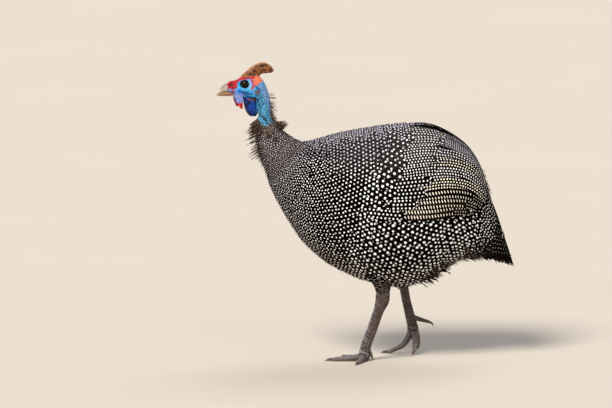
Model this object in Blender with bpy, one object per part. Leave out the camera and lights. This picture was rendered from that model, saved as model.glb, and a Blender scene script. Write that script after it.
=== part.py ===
"""Helmeted guinea fowl, life size, caught in mid stride.

The bird faces -X, its left side is -Y and the floor is z = 0. The origin is on the floor, midway
between the bill's tip and the tail's tip. Sizes are in millimetres until a mesh is made.
Run it with: blender --background --python part.py
"""
import math
import random

import bmesh
import bpy
from mathutils import Matrix, Vector

MM = 0.001
GAP = 0.3  # free space between two touching nodes
FLAT = math.radians(1.5)  # faces that meet at less than this are merged
LEFT, RIGHT = -1, 1
SIDES = (("left", LEFT), ("right", RIGHT))

# One loft carries the whole bird from the bill's root to the rump. A station is the top and the
# bottom of a cross-section in the middle plane (x, z), its half width, and how far its widest
# level lies below its middle, as a share of the half height.
HEAD = [
    ((-207.0, 414.0), (-205.5, 402.5), 4.5, 0.0),  # front of the cere
    ((-202.5, 417.5), (-201.0, 398.5), 6.6, 0.0),  # nostrils
    ((-195.0, 419.5), (-195.0, 396.5), 8.8, 0.0),
    ((-187.5, 422.5), (-187.5, 395.5), 11.6, 0.0),  # front of the eyes
    ((-178.5, 426.0), (-180.0, 394.5), 13.4, 0.0),  # eyes
    ((-168.0, 427.5), (-172.5, 392.0), 13.9, 0.0),
    ((-158.5, 425.5), (-167.0, 388.5), 13.3, 0.0),  # ears
    ((-151.5, 417.5), (-164.0, 384.0), 12.0, 0.0),
    ((-146.0, 405.0), (-162.0, 379.5), 10.8, 0.0),  # nape
]
NECK = [
    ((-142.5, 391.5), (-160.5, 375.0), 10.2, 0.0),
    ((-140.5, 378.0), (-160.0, 369.5), 10.0, 0.0),
    ((-139.5, 365.0), (-161.0, 362.0), 10.6, 0.0),  # last of the bare skin
    ((-134.0, 353.5), (-164.0, 350.0), 13.0, 0.0),  # first feathers
    ((-121.5, 343.0), (-163.5, 332.5), 19.0, 0.0),
    ((-109.5, 334.5), (-159.0, 311.0), 27.0, 0.04),
    ((-99.0, 329.0), (-150.0, 281.0), 37.0, 0.08),  # root of the neck
]
TORSO = [
    ((-87.0, 328.0), (-138.0, 249.0), 48.0, 0.10),
    ((-70.0, 332.0), (-120.0, 216.0), 60.0, 0.12),  # breast
    ((-45.0, 339.0), (-94.5, 177.0), 71.0, 0.14),
    ((-15.0, 345.5), (-60.0, 146.5), 79.0, 0.15),
    ((19.5, 351.0), (-20.0, 125.0), 84.0, 0.15),  # broadest
    ((52.5, 355.0), (22.5, 111.5), 85.0, 0.14),
    ((82.5, 354.0), (60.0, 108.5), 82.0, 0.12),  # top of the back
    ((109.5, 347.0), (90.0, 117.0), 76.0, 0.10),
    ((135.0, 333.0), (115.5, 134.0), 68.0, 0.08),
    ((157.0, 313.0), (139.5, 147.0), 57.0, 0.05),  # rump
]
TAIL = [
    ((173.0, 286.0), (162.0, 152.0), 45.0, 0.0),
    ((182.0, 258.5), (178.0, 153.0), 34.0, 0.0),
    ((191.5, 227.0), (190.5, 152.0), 24.0, 0.0),
    ((201.5, 197.0), (201.0, 149.0), 14.0, 0.0),
    ((212.0, 175.0), (212.0, 145.0), 7.0, 0.0),
]
STATIONS = HEAD + NECK + TORSO + TAIL
AT_NAPE = len(HEAD) - 0.5  # where the head's node ends
AT_RUFF = len(HEAD) + 2.6  # where the bare neck's node ends
AT_BREAST = len(HEAD) + len(NECK) - 0.5  # where the feathered neck ends
AT_RUMP = len(HEAD) + len(NECK) + len(TORSO) - 0.9  # where the torso ends
AT_TAIL_END = len(STATIONS) - 1.5

bird = bpy.data.collections.new("guinea_fowl")
cutters = bpy.data.collections.new("cutters")


def start_scene():
    for old in list(bpy.data.objects):
        bpy.data.objects.remove(old, do_unlink=True)
    bpy.context.scene.collection.children.link(bird)
    bpy.context.scene.collection.children.link(cutters)
    cutters.hide_render = True


def material(name, colour, roughness, metallic=0.0):
    made = bpy.data.materials.new(name)
    made.use_nodes = True
    shader = made.node_tree.nodes["Principled BSDF"]
    shader.inputs["Base Color"].default_value = (*colour, 1.0)
    shader.inputs["Roughness"].default_value = roughness
    shader.inputs["Metallic"].default_value = metallic
    return made


PLUMAGE = material("spotted_plumage", (0.05, 0.045, 0.045), 0.75)
BLUE_SKIN = material("blue_skin", (0.05, 0.25, 0.55), 0.55)
DEEP_BLUE = material("throat_skin", (0.02, 0.05, 0.28), 0.5)
WATTLE_SKIN = material("wattle_skin", (0.45, 0.1, 0.2), 0.5)
CASQUE_HORN = material("casque_horn", (0.28, 0.13, 0.08), 0.6)
BILL_HORN = material("bill_horn", (0.5, 0.4, 0.33), 0.4)
EYE = material("eye", (0.02, 0.01, 0.01), 0.1)
LEG_SCALES = material("leg_scales", (0.09, 0.08, 0.08), 0.6)
CLAW_HORN = material("claw_horn", (0.07, 0.055, 0.05), 0.45)


def along(stations, s):
    """The station values at s by a smooth curve through them, and past the ends by straight lines."""
    last = len(stations) - 1
    i = min(max(math.floor(s), 0), last - 1)
    t = s - i

    def flat(k):
        top, bottom, *rest = stations[min(max(k, 0), last)]
        return (*top, *bottom, *rest)

    before, a, b, after = (flat(k) for k in (i - 1, i, i + 1, i + 2))
    if t < 0 or t > 1:
        return [p + (q - p) * t for p, q in zip(a, b)]
    values = []
    for m, p, q, n in zip(before, a, b, after):
        leave, arrive = (q - m) / 2, (n - p) / 2
        values.append(
            p
            + leave * t
            + (3 * (q - p) - 2 * leave - arrive) * t**2
            + (2 * (p - q) + leave + arrive) * t**3
        )
    return values


def section(stations, s, angle):
    """The point of the loft at s and angle, which runs from 0 at the top over the left side."""
    top_x, top_z, low_x, low_z, half_width, low = along(stations, s)
    up = math.cos(angle)
    return Vector(
        (
            (top_x + low_x) / 2 + (top_x - low_x) / 2 * up,
            -half_width * math.sin(angle) * (1 - low * up),
            (top_z + low_z) / 2 + (top_z - low_z) / 2 * up,
        )
    )


def body(s, angle, lift=0.0):
    """A point on the bird's outer surface, lifted off it by so many millimetres."""
    place = section(STATIONS, s, angle)
    return place + body_normal(s, angle) * lift if lift else place


def body_normal(s, angle):
    step = 0.02
    forth = section(STATIONS, s + step, angle) - section(STATIONS, s - step, angle)
    round_it = section(STATIONS, s, angle + step) - section(STATIONS, s, angle - step)
    return forth.cross(round_it).normalized() * -1


def on_side(x, z):
    """(s, angle) of the left side's point that stands at x and z in the side view."""
    low, high = 0.0, len(STATIONS) - 1.0
    for _ in range(30):
        s = (low + high) / 2
        top_x, top_z, low_x, low_z, *_ = along(STATIONS, s)
        ahead = (top_x - low_x) * (z - low_z) - (top_z - low_z) * (x - low_x)
        low, high = (s, high) if ahead < 0 else (low, s)
    share = ((z - low_z) * (top_z - low_z) + (x - low_x) * (top_x - low_x)) / (
        (top_z - low_z) ** 2 + (top_x - low_x) ** 2
    )
    return s, math.acos(min(max(2 * share - 1, -1.0), 1.0))


def put(name, bm, finish, collection=None):
    """Makes an object of a bmesh that is drawn in millimetres."""
    bmesh.ops.remove_doubles(bm, verts=bm.verts, dist=0.001)
    bmesh.ops.recalc_face_normals(bm, faces=bm.faces)
    bmesh.ops.scale(bm, vec=(MM, MM, MM), verts=bm.verts)
    mesh = bpy.data.meshes.new(name)
    bm.to_mesh(mesh)
    bm.free()
    mesh.shade_smooth()
    mesh.materials.append(finish)
    made = bpy.data.objects.new(name, mesh)
    (collection or bird).objects.link(made)
    return made


def loft(name, rings, finish, collection=None):
    """A closed body through rings of points, with a fan of triangles over each end."""
    bm = bmesh.new()
    rows = [[bm.verts.new(p) for p in ring] for ring in rings]
    for row, after in zip(rows, rows[1:]):
        for i in range(len(row)):
            j = (i + 1) % len(row)
            bm.faces.new((row[i], row[j], after[j], after[i]))
    for row, ring in ((rows[0], rings[0]), (rows[-1], rings[-1])):
        middle = bm.verts.new(sum(ring, Vector()) / len(ring))
        for i in range(len(row)):
            bm.faces.new((row[i], row[(i + 1) % len(row)], middle))
    return put(name, bm, finish, collection)


def steps(first, last, count):
    return [first + (last - first) * i / (count - 1) for i in range(count)]


def loft_rings(stations, first, last, count, around):
    """Rings of points round the loft, from its station first to its station last."""
    turns = [2 * math.pi * k / around for k in range(around)]
    return [[section(stations, s, turn) for turn in turns] for s in steps(first, last, count)]


def tube(name, spine, radii, finish, around=12, flat=1.0, collection=None, floor=False):
    """A tapering limb along a spine. flat is its width over its height; floor keeps it at z >= 0."""
    rings = []
    for i, (place, radius) in enumerate(zip(spine, radii)):
        ahead = spine[min(i + 1, len(spine) - 1)] - spine[max(i - 1, 0)]
        across = ahead.cross(Vector((0, 0, 1)))
        across = across.normalized() if across.length > 1e-6 else Vector((0, 1, 0))
        over = across.cross(ahead).normalized()
        ring = []
        for k in range(around):
            angle = 2 * math.pi * k / around
            point = place + (across * math.cos(angle) * flat + over * math.sin(angle)) * radius
            ring.append(Vector((point.x, point.y, max(point.z, 0.0))) if floor else point)
        rings.append(ring)
    return loft(name, rings, finish, collection)


def smooth_path(points, count):
    """count points of a smooth curve through the points."""
    last = len(points) - 1
    path = []
    for s in steps(0.0, last, count):
        i = min(int(s), last - 1)
        t = s - i
        m, p, q, n = (Vector(points[min(max(k, 0), last)]) for k in (i - 1, i, i + 1, i + 2))
        leave, arrive = (q - m) / 2, (n - p) / 2
        path.append(
            p
            + leave * t
            + (3 * (q - p) - 2 * leave - arrive) * t**2
            + (2 * (p - q) + leave + arrive) * t**3
        )
    return path


def smooth_sizes(sizes, count):
    """count numbers along a smooth curve through the sizes."""
    return [v.x for v in smooth_path([(size, 0, 0) for size in sizes], count)]


def ball(name, centre, radii, finish, turn=None, rings=10, around=16, collection=None):
    """An ellipsoid, turned by a matrix about its centre."""
    bm = bmesh.new()
    bmesh.ops.create_uvsphere(bm, u_segments=around, v_segments=rings, radius=1.0)
    place = Matrix.Translation(centre) @ (turn or Matrix()) @ Matrix.Diagonal((*radii, 1.0))
    bmesh.ops.transform(bm, matrix=place, verts=bm.verts)
    return put(name, bm, finish, collection)


def torus(name, centre, axis, ring_radius, wire_radius, finish, around=20, sides=6, tall=1.0):
    """A ring round an axis, such as an eyelid or the rim of an ear. tall stretches it upwards."""
    turn = Vector(axis).to_track_quat("Z", "Y").to_matrix().to_4x4()
    bm = bmesh.new()
    rows = []
    for i in range(around):
        a = 2 * math.pi * i / around
        row = []
        for j in range(sides):
            b = 2 * math.pi * j / sides
            reach = ring_radius + wire_radius * math.cos(b)
            local = Vector((reach * math.cos(a), reach * math.sin(a) * tall, wire_radius * math.sin(b)))
            row.append(bm.verts.new(Vector(centre) + turn @ local))
        rows.append(row)
    for i in range(around):
        for j in range(sides):
            row, after, k = rows[i], rows[(i + 1) % around], (j + 1) % sides
            bm.faces.new((row[j], row[k], after[k], after[j]))
    return put(name, bm, finish, cutters)


def evaluated_mesh(obj):
    graph = bpy.context.evaluated_depsgraph_get()
    return bpy.data.meshes.new_from_object(obj.evaluated_get(graph))


def apply_boolean(obj, operation, operand, solver):
    """Applies one Boolean of obj with an object or a collection, and keeps its largest surface."""
    step = obj.modifiers.new(operation.lower(), "BOOLEAN")
    step.operation = operation
    step.solver = solver
    if isinstance(operand, bpy.types.Collection):
        step.operand_type = "COLLECTION"
        step.collection = operand
    else:
        step.object = operand
    bpy.context.view_layer.update()
    mesh = evaluated_mesh(obj)
    obj.modifiers.remove(step)
    old, obj.data = obj.data, mesh
    bpy.data.meshes.remove(old)
    keep_largest(obj)


def keep_largest(obj):
    """Drops every loose scrap and every sealed hollow that a Boolean left."""
    bm = bmesh.new()
    bm.from_mesh(obj.data)
    bmesh.ops.remove_doubles(bm, verts=bm.verts, dist=1e-6)
    bmesh.ops.triangulate(bm, faces=bm.faces)
    seen, shells = set(), []
    for first in bm.faces:
        if first in seen:
            continue
        shell, queue = [], [first]
        seen.add(first)
        while queue:
            face = queue.pop()
            shell.append(face)
            for edge in face.edges:
                for other in edge.link_faces if len(edge.link_faces) == 2 else ():
                    if other not in seen:
                        seen.add(other)
                        queue.append(other)
        shells.append(shell)
    shells.sort(key=size_of, reverse=True)
    bmesh.ops.delete(bm, geom=[face for shell in shells[1:] for face in shell], context="FACES")
    bm.to_mesh(obj.data)
    bm.free()


def size_of(shell):
    points = [v.co for face in shell for v in face.verts]
    low = [min(p[k] for p in points) for k in range(3)]
    high = [max(p[k] for p in points) for k in range(3)]
    return (Vector(high) - Vector(low)).length


def merge_flat_faces(obj):
    """Rejoins the slivers that Booleans leave in flat faces, if the body stays closed."""
    bm = bmesh.new()
    bm.from_mesh(obj.data)
    bmesh.ops.triangulate(bm, faces=bm.faces)
    bmesh.ops.dissolve_limit(bm, angle_limit=FLAT, verts=bm.verts, edges=bm.edges)
    bmesh.ops.triangulate(bm, faces=bm.faces)
    if all(len(edge.link_faces) == 2 for edge in bm.edges):
        bm.to_mesh(obj.data)
    bm.free()


def fuse(obj, pieces, solver="MANIFOLD"):
    """Joins the pieces to obj by one union, and removes them."""
    group = bpy.data.collections.new("joining")
    bpy.context.scene.collection.children.link(group)
    for piece in pieces:
        for home in list(piece.users_collection):
            home.objects.unlink(piece)
        group.objects.link(piece)
    apply_boolean(obj, "UNION", group, solver)
    for piece in pieces:
        bpy.data.objects.remove(piece)
    bpy.data.collections.remove(group)


def swollen(obj, gap=GAP):
    """A copy of obj that is larger by gap all over, for cutting its neighbours clear of it."""
    mesh = obj.data.copy()
    bm = bmesh.new()
    bm.from_mesh(mesh)
    bm.normal_update()
    shift = [(v, v.co + v.normal * gap * MM) for v in bm.verts]
    for v, place in shift:
        v.co = place
    bm.to_mesh(mesh)
    bm.free()
    made = bpy.data.objects.new(obj.name + "_swollen", mesh)
    cutters.objects.link(made)
    return made


def carve(obj, *others, solver="MANIFOLD"):
    """Cuts obj clear of the others by the gap."""
    for other in others:
        cutter = swollen(other)
        apply_boolean(obj, "DIFFERENCE", cutter, solver)
        bpy.data.objects.remove(cutter)


def cut_at(s):
    """The two places on either side of s whose sections stand the gap apart at their nearest."""
    a, b = along(STATIONS, s - 0.05), along(STATIONS, s + 0.05)
    speeds = [math.hypot(b[i] - a[i], b[i + 1] - a[i + 1]) * 10 for i in (0, 2)]
    half = 0.6 * GAP / min(speeds)
    return s - half, s + half


def body_node(name, first, last, count, around, finish):
    """One length of the body's loft, from one cut to the next."""
    start = first if first == 0 else cut_at(first)[1]
    end = last if last == AT_TAIL_END else cut_at(last)[0]
    return loft(name, loft_rings(STATIONS, start, end, count, around), finish)


def vane(name, spine, normals, half_widths, thickness, tilt=0.0):
    """A feather's blade: four points round, the same triangles above and below, and a blunt tip."""
    bm = bmesh.new()
    rows = []
    for i, (place, normal, half) in enumerate(zip(spine, normals, half_widths)):
        ahead = (spine[min(i + 1, len(spine) - 1)] - spine[max(i - 1, 0)]).normalized()
        across = ahead.cross(normal).normalized()
        over = across.cross(ahead).normalized() * (thickness / 2)
        lean = normal * tilt * half / max(half_widths)
        near, far = place - across * half - lean, place + across * half + lean
        rows.append([bm.verts.new(p) for p in (near - over, near + over, far + over, far - over)])
    for a, b in zip(rows, rows[1:]):
        for tri in (
            (a[1], a[2], b[2]),
            (a[1], b[2], b[1]),
            (a[0], a[3], b[3]),
            (a[0], b[3], b[0]),
            (a[0], a[1], b[1]),
            (a[0], b[1], b[0]),
            (a[3], a[2], b[2]),
            (a[3], b[2], b[3]),
        ):
            bm.faces.new(tri)
    for row in (rows[0], rows[-1]):
        bm.faces.new((row[0], row[1], row[2]))
        bm.faces.new((row[0], row[2], row[3]))
    return put(name, bm, PLUMAGE, cutters)


def lying_vane(name, side, points, half_widths, lifts, tilt=None, count=6):
    """A vane that lies on the body along (s, angle in degrees) points, at the given lifts."""
    path = smooth_path([(s, angle, 0) for s, angle in points], count)
    heights = smooth_sizes(lifts, count)
    halves = smooth_sizes(half_widths, count)
    angles = [-side * math.radians(p.y) for p in path]
    spine = [body(p.x, a, h) for p, a, h in zip(path, angles, heights)]
    normals = [body_normal(p.x, a) for p, a in zip(path, angles)]
    lean = VANE_TILT if tilt is None else tilt
    return vane(name, spine, normals, halves, VANE_THICKNESS, lean * side)


def lock(name, root, heading, normal, length, half_width, bend, finish=PLUMAGE):
    """A flat, pointed tuft of bristly feathers that bends towards its normal."""
    across = heading.cross(normal).normalized()
    rings = []
    for t in (0.0, 0.5, 1.0):
        middle = root + heading * length * t + normal * bend * length * t * t
        half = half_width * (1.0 - 0.85 * t * t)
        thick = 0.75 * half_width * (1.0 - 0.8 * t)
        over = normal * thick
        rings.append([middle - across * half, middle + over, middle + across * half, middle - over])
    return loft(name, rings, finish, cutters)


EYE_CENTRE = Vector((-180.0, 10.0, 414.8))
EYE_RADII = (6.8, 5.4, 6.4)
LID_RING, LID_WIRE, LID_OUT = 6.5, 1.1, 3.6  # the lids' fold, and how far out from the eye's centre
LID_HEIGHT = 0.92  # the opening's height over its length
EAR_CENTRE = Vector((-161.5, 12.9, 403.3))
EAR_RING, EAR_WIRE, EAR_PIT = 2.9, 0.8, (2.1, 2.2, 1.7)
NOSTRIL_CENTRE = Vector((-201.3, 6.3, 412.8))
NOSTRIL_RADII, NOSTRIL_SLANT = (2.0, 1.8, 0.9), math.radians(30)
CARUNCLES = ((-197.5, 414.0), (-193.5, 417.0), (-199.0, 407.0))  # x and z in the side view
CARUNCLE_RADII = (1.9, 1.5, 1.6)


def mirrored(place, side):
    return Vector((place.x, abs(place.y) * side, place.z))


def make_head():
    """The head with its lids, ears, nostrils and warty cere, hollowed for the eyes."""
    head = body_node("head", 0, AT_NAPE, 15, 18, BLUE_SKIN)
    eyes, folds = [], []
    for label, side in SIDES:
        eye = mirrored(EYE_CENTRE, side)
        eyes.append(ball(f"eye_{label}", eye, EYE_RADII, EYE, rings=7, around=12))
        lid_place = eye + Vector((0.0, LID_OUT * side, 0.0))
        lid_axis = (-0.05, side, 0.0)
        folds.append(torus("lid", lid_place, lid_axis, LID_RING, LID_WIRE, BLUE_SKIN, 12, 4, LID_HEIGHT))
        ear, ear_axis = mirrored(EAR_CENTRE, side), (0.15, side, -0.1)
        folds.append(torus("ear_rim", ear, ear_axis, EAR_RING, EAR_WIRE, BLUE_SKIN, 10, 4, 0.8))
        for i, (x, z) in enumerate(CARUNCLES):
            s, angle = on_side(x, z)
            centre = body(s, -side * angle, -GAP)
            folds.append(ball(f"caruncle_{i}", centre, CARUNCLE_RADII, BLUE_SKIN, None, 4, 6, cutters))
    fuse(head, folds)
    slant = Matrix.Rotation(NOSTRIL_SLANT, 4, "Y")
    for _, side in SIDES:
        nostril_place, ear_place = mirrored(NOSTRIL_CENTRE, side), mirrored(EAR_CENTRE, side)
        nostril = ball("nostril", nostril_place, NOSTRIL_RADII, BLUE_SKIN, slant, 6, 10, cutters)
        pit = ball("ear_pit", ear_place, EAR_PIT, BLUE_SKIN, None, 6, 10, cutters)
        for cutter in (nostril, pit):
            apply_boolean(head, "DIFFERENCE", cutter, "MANIFOLD")
            bpy.data.objects.remove(cutter)
    carve(head, *eyes)
    return head


CASQUE = [
    ((-189.0, 421.0), (-159.0, 419.5), 6.4, 0.0),
    ((-184.5, 427.5), (-158.3, 425.0), 5.6, 0.0),
    ((-177.8, 433.8), (-156.0, 428.2), 4.8, 0.0),
    ((-170.0, 440.0), (-152.3, 429.8), 4.4, 0.0),
    ((-161.3, 445.0), (-148.0, 430.2), 4.3, 0.0),
    ((-152.3, 446.8), (-144.0, 430.5), 4.1, 0.0),
    ((-144.8, 444.2), (-140.4, 431.0), 3.5, 0.0),
    ((-139.4, 439.2), (-137.6, 432.4), 2.3, 0.0),
    ((-136.6, 435.4), (-136.4, 433.6), 0.9, 0.0),
]
UPPER_BILL = [
    ((-203.0, 415.5), (-200.5, 403.0), 6.0, 0.0),
    ((-208.5, 414.5), (-206.5, 402.4), 5.9, -0.1),
    ((-213.5, 411.2), (-213.0, 401.6), 4.9, -0.15),
    ((-218.3, 406.4), (-218.6, 399.9), 3.3, -0.15),
    ((-221.8, 401.8), (-222.0, 397.8), 1.8, 0.0),
    ((-223.4, 398.6), (-223.3, 396.6), 0.7, 0.0),
]
LOWER_BILL = [
    ((-199.0, 402.4), (-201.0, 396.3), 5.7, 0.0),
    ((-206.5, 402.0), (-207.5, 395.8), 5.0, 0.1),
    ((-213.0, 401.2), (-213.5, 395.9), 3.8, 0.1),
    ((-218.0, 399.6), (-218.5, 396.0), 2.3, 0.0),
    ((-220.8, 398.0), (-221.0, 396.6), 1.0, 0.0),
]
THROAT = [
    ((-184.0, 397.5), (-163.0, 395.5), 7.6, 0.0),
    ((-182.6, 389.0), (-161.0, 386.5), 8.4, 0.0),
    ((-181.0, 380.0), (-160.5, 378.0), 8.2, 0.0),
    ((-177.4, 370.8), (-160.6, 370.2), 6.8, 0.0),
    ((-172.5, 365.6), (-163.5, 365.3), 3.8, 0.0),
]
WATTLE = [
    ((-195.5, 405.0), (-181.5, 402.5), 1.9, 0.0),
    ((-195.5, 397.5), (-182.0, 396.5), 1.8, 0.0),
    ((-194.0, 390.5), (-182.5, 389.0), 1.7, 0.0),
    ((-190.0, 384.0), (-182.8, 382.8), 1.5, 0.0),
    ((-186.8, 378.8), (-183.0, 378.2), 1.0, 0.0),
]
WATTLE_ROOT_Y = 10.6
WATTLE_SPLAY = 0.16  # how far it swings outwards for each millimetre that it hangs
RIGHT_WATTLE_SWING = -0.26  # how far the right one swings forwards for each millimetre that it hangs


def make_head_parts(head):
    casque = loft("casque", loft_rings(CASQUE, 0, 8, 11, 12), CASQUE_HORN)
    carve(casque, head)
    upper = loft("bill_upper", loft_rings(UPPER_BILL, 0, 5, 8, 12), BILL_HORN)
    carve(upper, head)
    lower = loft("bill_lower", loft_rings(LOWER_BILL, 0, 4, 7, 10), BILL_HORN)
    carve(lower, head, upper)
    throat = loft("throat_fold", loft_rings(THROAT, 0, 4, 8, 14), DEEP_BLUE)
    for label, side in SIDES:
        rings = loft_rings(WATTLE, 0, 4, 7, 8)
        hang = WATTLE[0][0][1]
        for ring in rings:
            for p in ring:
                drop = hang - p.z
                if side == RIGHT:
                    p.x += RIGHT_WATTLE_SWING * drop
                p.y = side * (WATTLE_ROOT_Y + WATTLE_SPLAY * drop + p.y)
        carve(loft(f"wattle_{label}", rings, WATTLE_SKIN), head, lower)
    return throat


NAPE_BRISTLES = 14
NAPE_FIRST, NAPE_LENGTH = 8.8, 2.2  # where the bristles start, and how far they run, in stations
BRISTLE_LENGTHS, BRISTLE_HALF_WIDTH, BRISTLE_SINK = (8.5, 12.5), 1.5, 1.8
RUFF_ROWS = ((11.8, 9, 1.0), (12.2, 11, 1.0), (12.7, 12, 0.8))  # station, tufts round it, size
TUFT_LENGTHS, TUFT_HALF_WIDTH, TUFT_SINK = (13.0, 17.0), 3.0, 2.4


def make_neck(throat, head):
    bare = body_node("neck_bare", AT_NAPE, AT_RUFF, 7, 18, BLUE_SKIN)
    draw = random.Random(7)
    bristles = []
    for i in range(NAPE_BRISTLES):
        s = NAPE_FIRST + NAPE_LENGTH * i / (NAPE_BRISTLES - 1)
        angle = math.radians(draw.uniform(4.0, 24.0)) * (1 if i % 2 else -1)
        normal = body_normal(s, angle)
        downward = (body(s + 0.2, angle) - body(s - 0.2, angle)).normalized()
        heading = (normal * 0.8 - downward * draw.uniform(-0.5, 0.5)).normalized()
        root, length = body(s, angle, -BRISTLE_SINK), draw.uniform(*BRISTLE_LENGTHS)
        bristles.append(lock(f"bristle_{i}", root, heading, -downward, length, BRISTLE_HALF_WIDTH, 0.2))
    fuse(bare, bristles)
    feathered = body_node("neck_feathered", AT_RUFF, AT_BREAST, 12, 26, PLUMAGE)
    carve(throat, head, bare, feathered)
    tufts = []
    for row, (s, count, size) in enumerate(RUFF_ROWS):
        for i in range(count):
            angle = 2 * math.pi * (i + 0.5 * (row % 2)) / count + draw.uniform(-0.08, 0.08)
            if math.cos(angle) < -0.75 and s < 12.2:
                continue  # the throat's fold hangs there
            normal = body_normal(s, angle)
            downward = (body(s + 0.2, angle) - body(s - 0.2, angle)).normalized()
            spread = 0.5 + (0.7 if math.cos(angle) > 0.3 else 0.15) * abs(math.cos(angle))
            heading = (downward + normal * spread * size).normalized()
            root, length = body(s, angle, -TUFT_SINK), draw.uniform(*TUFT_LENGTHS) * size
            tufts.append(lock(f"tuft_{row}_{i}", root, heading, normal, length, TUFT_HALF_WIDTH, 0.12))
    fuse(feathered, tufts)


# The folded wing's upper and lower edges on the body: station, and degrees down from the back.
WING_TOP = [
    (17.3, 62.0),
    (18.0, 40.0),
    (19.0, 27.0),
    (20.5, 19.0),
    (22.5, 13.0),
    (24.2, 10.0),
    (25.0, 11.0),
]
WING_LOW = [
    (17.3, 76.0),
    (17.9, 88.0),
    (19.0, 94.0),
    (20.5, 95.0),
    (22.5, 94.0),
    (24.0, 92.0),
    (25.0, 87.0),
]
WING_LIFT = 2.0  # how far the folded wing's middle stands off the torso
WING_EDGE = 1.4
WING_SINK = -3.0  # how deep the shell reaches before it is cut clear of the torso
SECONDARIES = 10
ROOT_STATION, MIDDLE_STATION, BEND_STATION = 20.8, 23.2, 24.8
ROOT_ANGLES = (22, 40, 54, 64, 71, 77, 82, 86, 89, 92)
MIDDLE_ANGLES = (15, 26, 37, 46, 55, 63, 71, 79, 86, 92)
TIP_ANGLES = (13, 17, 22, 29, 40, 52, 63, 73, 82, 89)
TIP_STATIONS = (25.2, 25.8, 26.3, 26.75, 26.85, 26.7, 26.4, 26.1, 25.7, 25.3)
SECONDARY_LIFTS = (0.8, 3.6, 4.0, 3.6)
SECONDARY_HALF_WIDTHS = (5.0, 7.5, 7.5, 2.2)
COVERT_TIERS = ((19.2, 22.0, 6, 5.6), (17.9, 20.3, 5, 5.4))  # root station, tip station, count, lift
COVERT_HALF_WIDTHS = (5.5, 10.0, 4.0)
VANE_THICKNESS, VANE_TILT = 1.0, -0.8  # the lower edges stand proud, as on shingles


def make_wing(label, side, torso, tail):
    """The folded wing: a shell over the flank, with its secondaries and two tiers of coverts."""
    columns, rows = 11, 8
    tops = smooth_path([(s, a, 0) for s, a in WING_TOP], columns)
    lows = smooth_path([(s, a, 0) for s, a in WING_LOW], columns)
    bm = bmesh.new()
    outer, inner = [], []
    for i, (top, low) in enumerate(zip(tops, lows)):
        for grid, inside in ((outer, False), (inner, True)):
            line = []
            for j in range(rows):
                s, degrees, _ = top.lerp(low, j / (rows - 1))
                share = math.sin(math.pi * j / (rows - 1)) ** 0.5 * min(1.0, (i + 0.4) / 3)
                lift = WING_SINK if inside else WING_EDGE + (WING_LIFT - WING_EDGE) * share
                line.append(bm.verts.new(body(s, -side * math.radians(degrees), lift)))
            grid.append(line)
    for grid in (outer, inner):
        for a, b in zip(grid, grid[1:]):
            for j in range(rows - 1):
                bm.faces.new((a[j], a[j + 1], b[j + 1], b[j]))
    for i in range(columns - 1):
        for j in (0, rows - 1):
            bm.faces.new((outer[i][j], outer[i + 1][j], inner[i + 1][j], inner[i][j]))
    for j in range(rows - 1):
        for i in (0, columns - 1):
            bm.faces.new((outer[i][j], outer[i][j + 1], inner[i][j + 1], inner[i][j]))
    wing = put(f"wing_{label}", bm, PLUMAGE)
    fuse(wing, wing_feathers(side))
    carve(wing, torso, tail)
    return wing


def wing_feathers(side):
    """The vanes of one folded wing: the secondaries from the back down, then the two covert tiers."""
    feathers = []
    for k in range(SECONDARIES):
        root, middle, tip = ROOT_ANGLES[k], MIDDLE_ANGLES[k], TIP_ANGLES[k]
        points = (
            (ROOT_STATION, root),
            (MIDDLE_STATION, middle),
            (BEND_STATION, (middle + tip) / 2),
            (TIP_STATIONS[k], tip),
        )
        flatter = 0.5 + 0.5 * min(k / 3, 1.0)  # the first few lie close to the back
        lifts = [lift * flatter for lift in SECONDARY_LIFTS]
        feathers.append(lying_vane(f"secondary_{k}", side, points, SECONDARY_HALF_WIDTHS, lifts, count=5))
    for tier, (start, end, count, lift) in enumerate(COVERT_TIERS):
        for k in range(count):
            share = k / (count - 1)
            first = 34.0 + 54.0 * share
            last = 22.0 + 70.0 * share ** (0.85 if tier == 0 else 1.0)
            reach = end - 0.25 * math.sin(math.pi * share)
            height = lift * (0.65 + 0.35 * min(share * 3, 1.0))
            points = ((start, first), ((start + reach) / 2, (first + last) / 2), (reach, last))
            lifts = (0.4, 0.65 * height, height)
            name = f"covert_{tier}_{k}"
            feathers.append(lying_vane(name, side, points, COVERT_HALF_WIDTHS, lifts, count=4))
    return feathers


# Tail feathers from the middle pair outwards: the angle of the root, and the tip's place.
RECTRICES = [
    (9.0, (222.8, 4.2, 140.0)),
    (27.0, (215.5, 13.0, 140.5)),
    (45.0, (205.5, 21.5, 142.5)),
    (64.0, (194.0, 29.5, 147.5)),
    (84.0, (181.0, 36.5, 152.0)),
]
RECTRIX_HALF_WIDTHS = (4.5, 6.5, 6.5, 2.5)
TAIL_COVERTS = 5
TAIL_COVERT_HALF_WIDTHS, TAIL_COVERT_LIFTS = (4.0, 7.0, 2.0), (-1.4, 1.8, 3.4)
TAIL_TILT = -1.2


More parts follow.
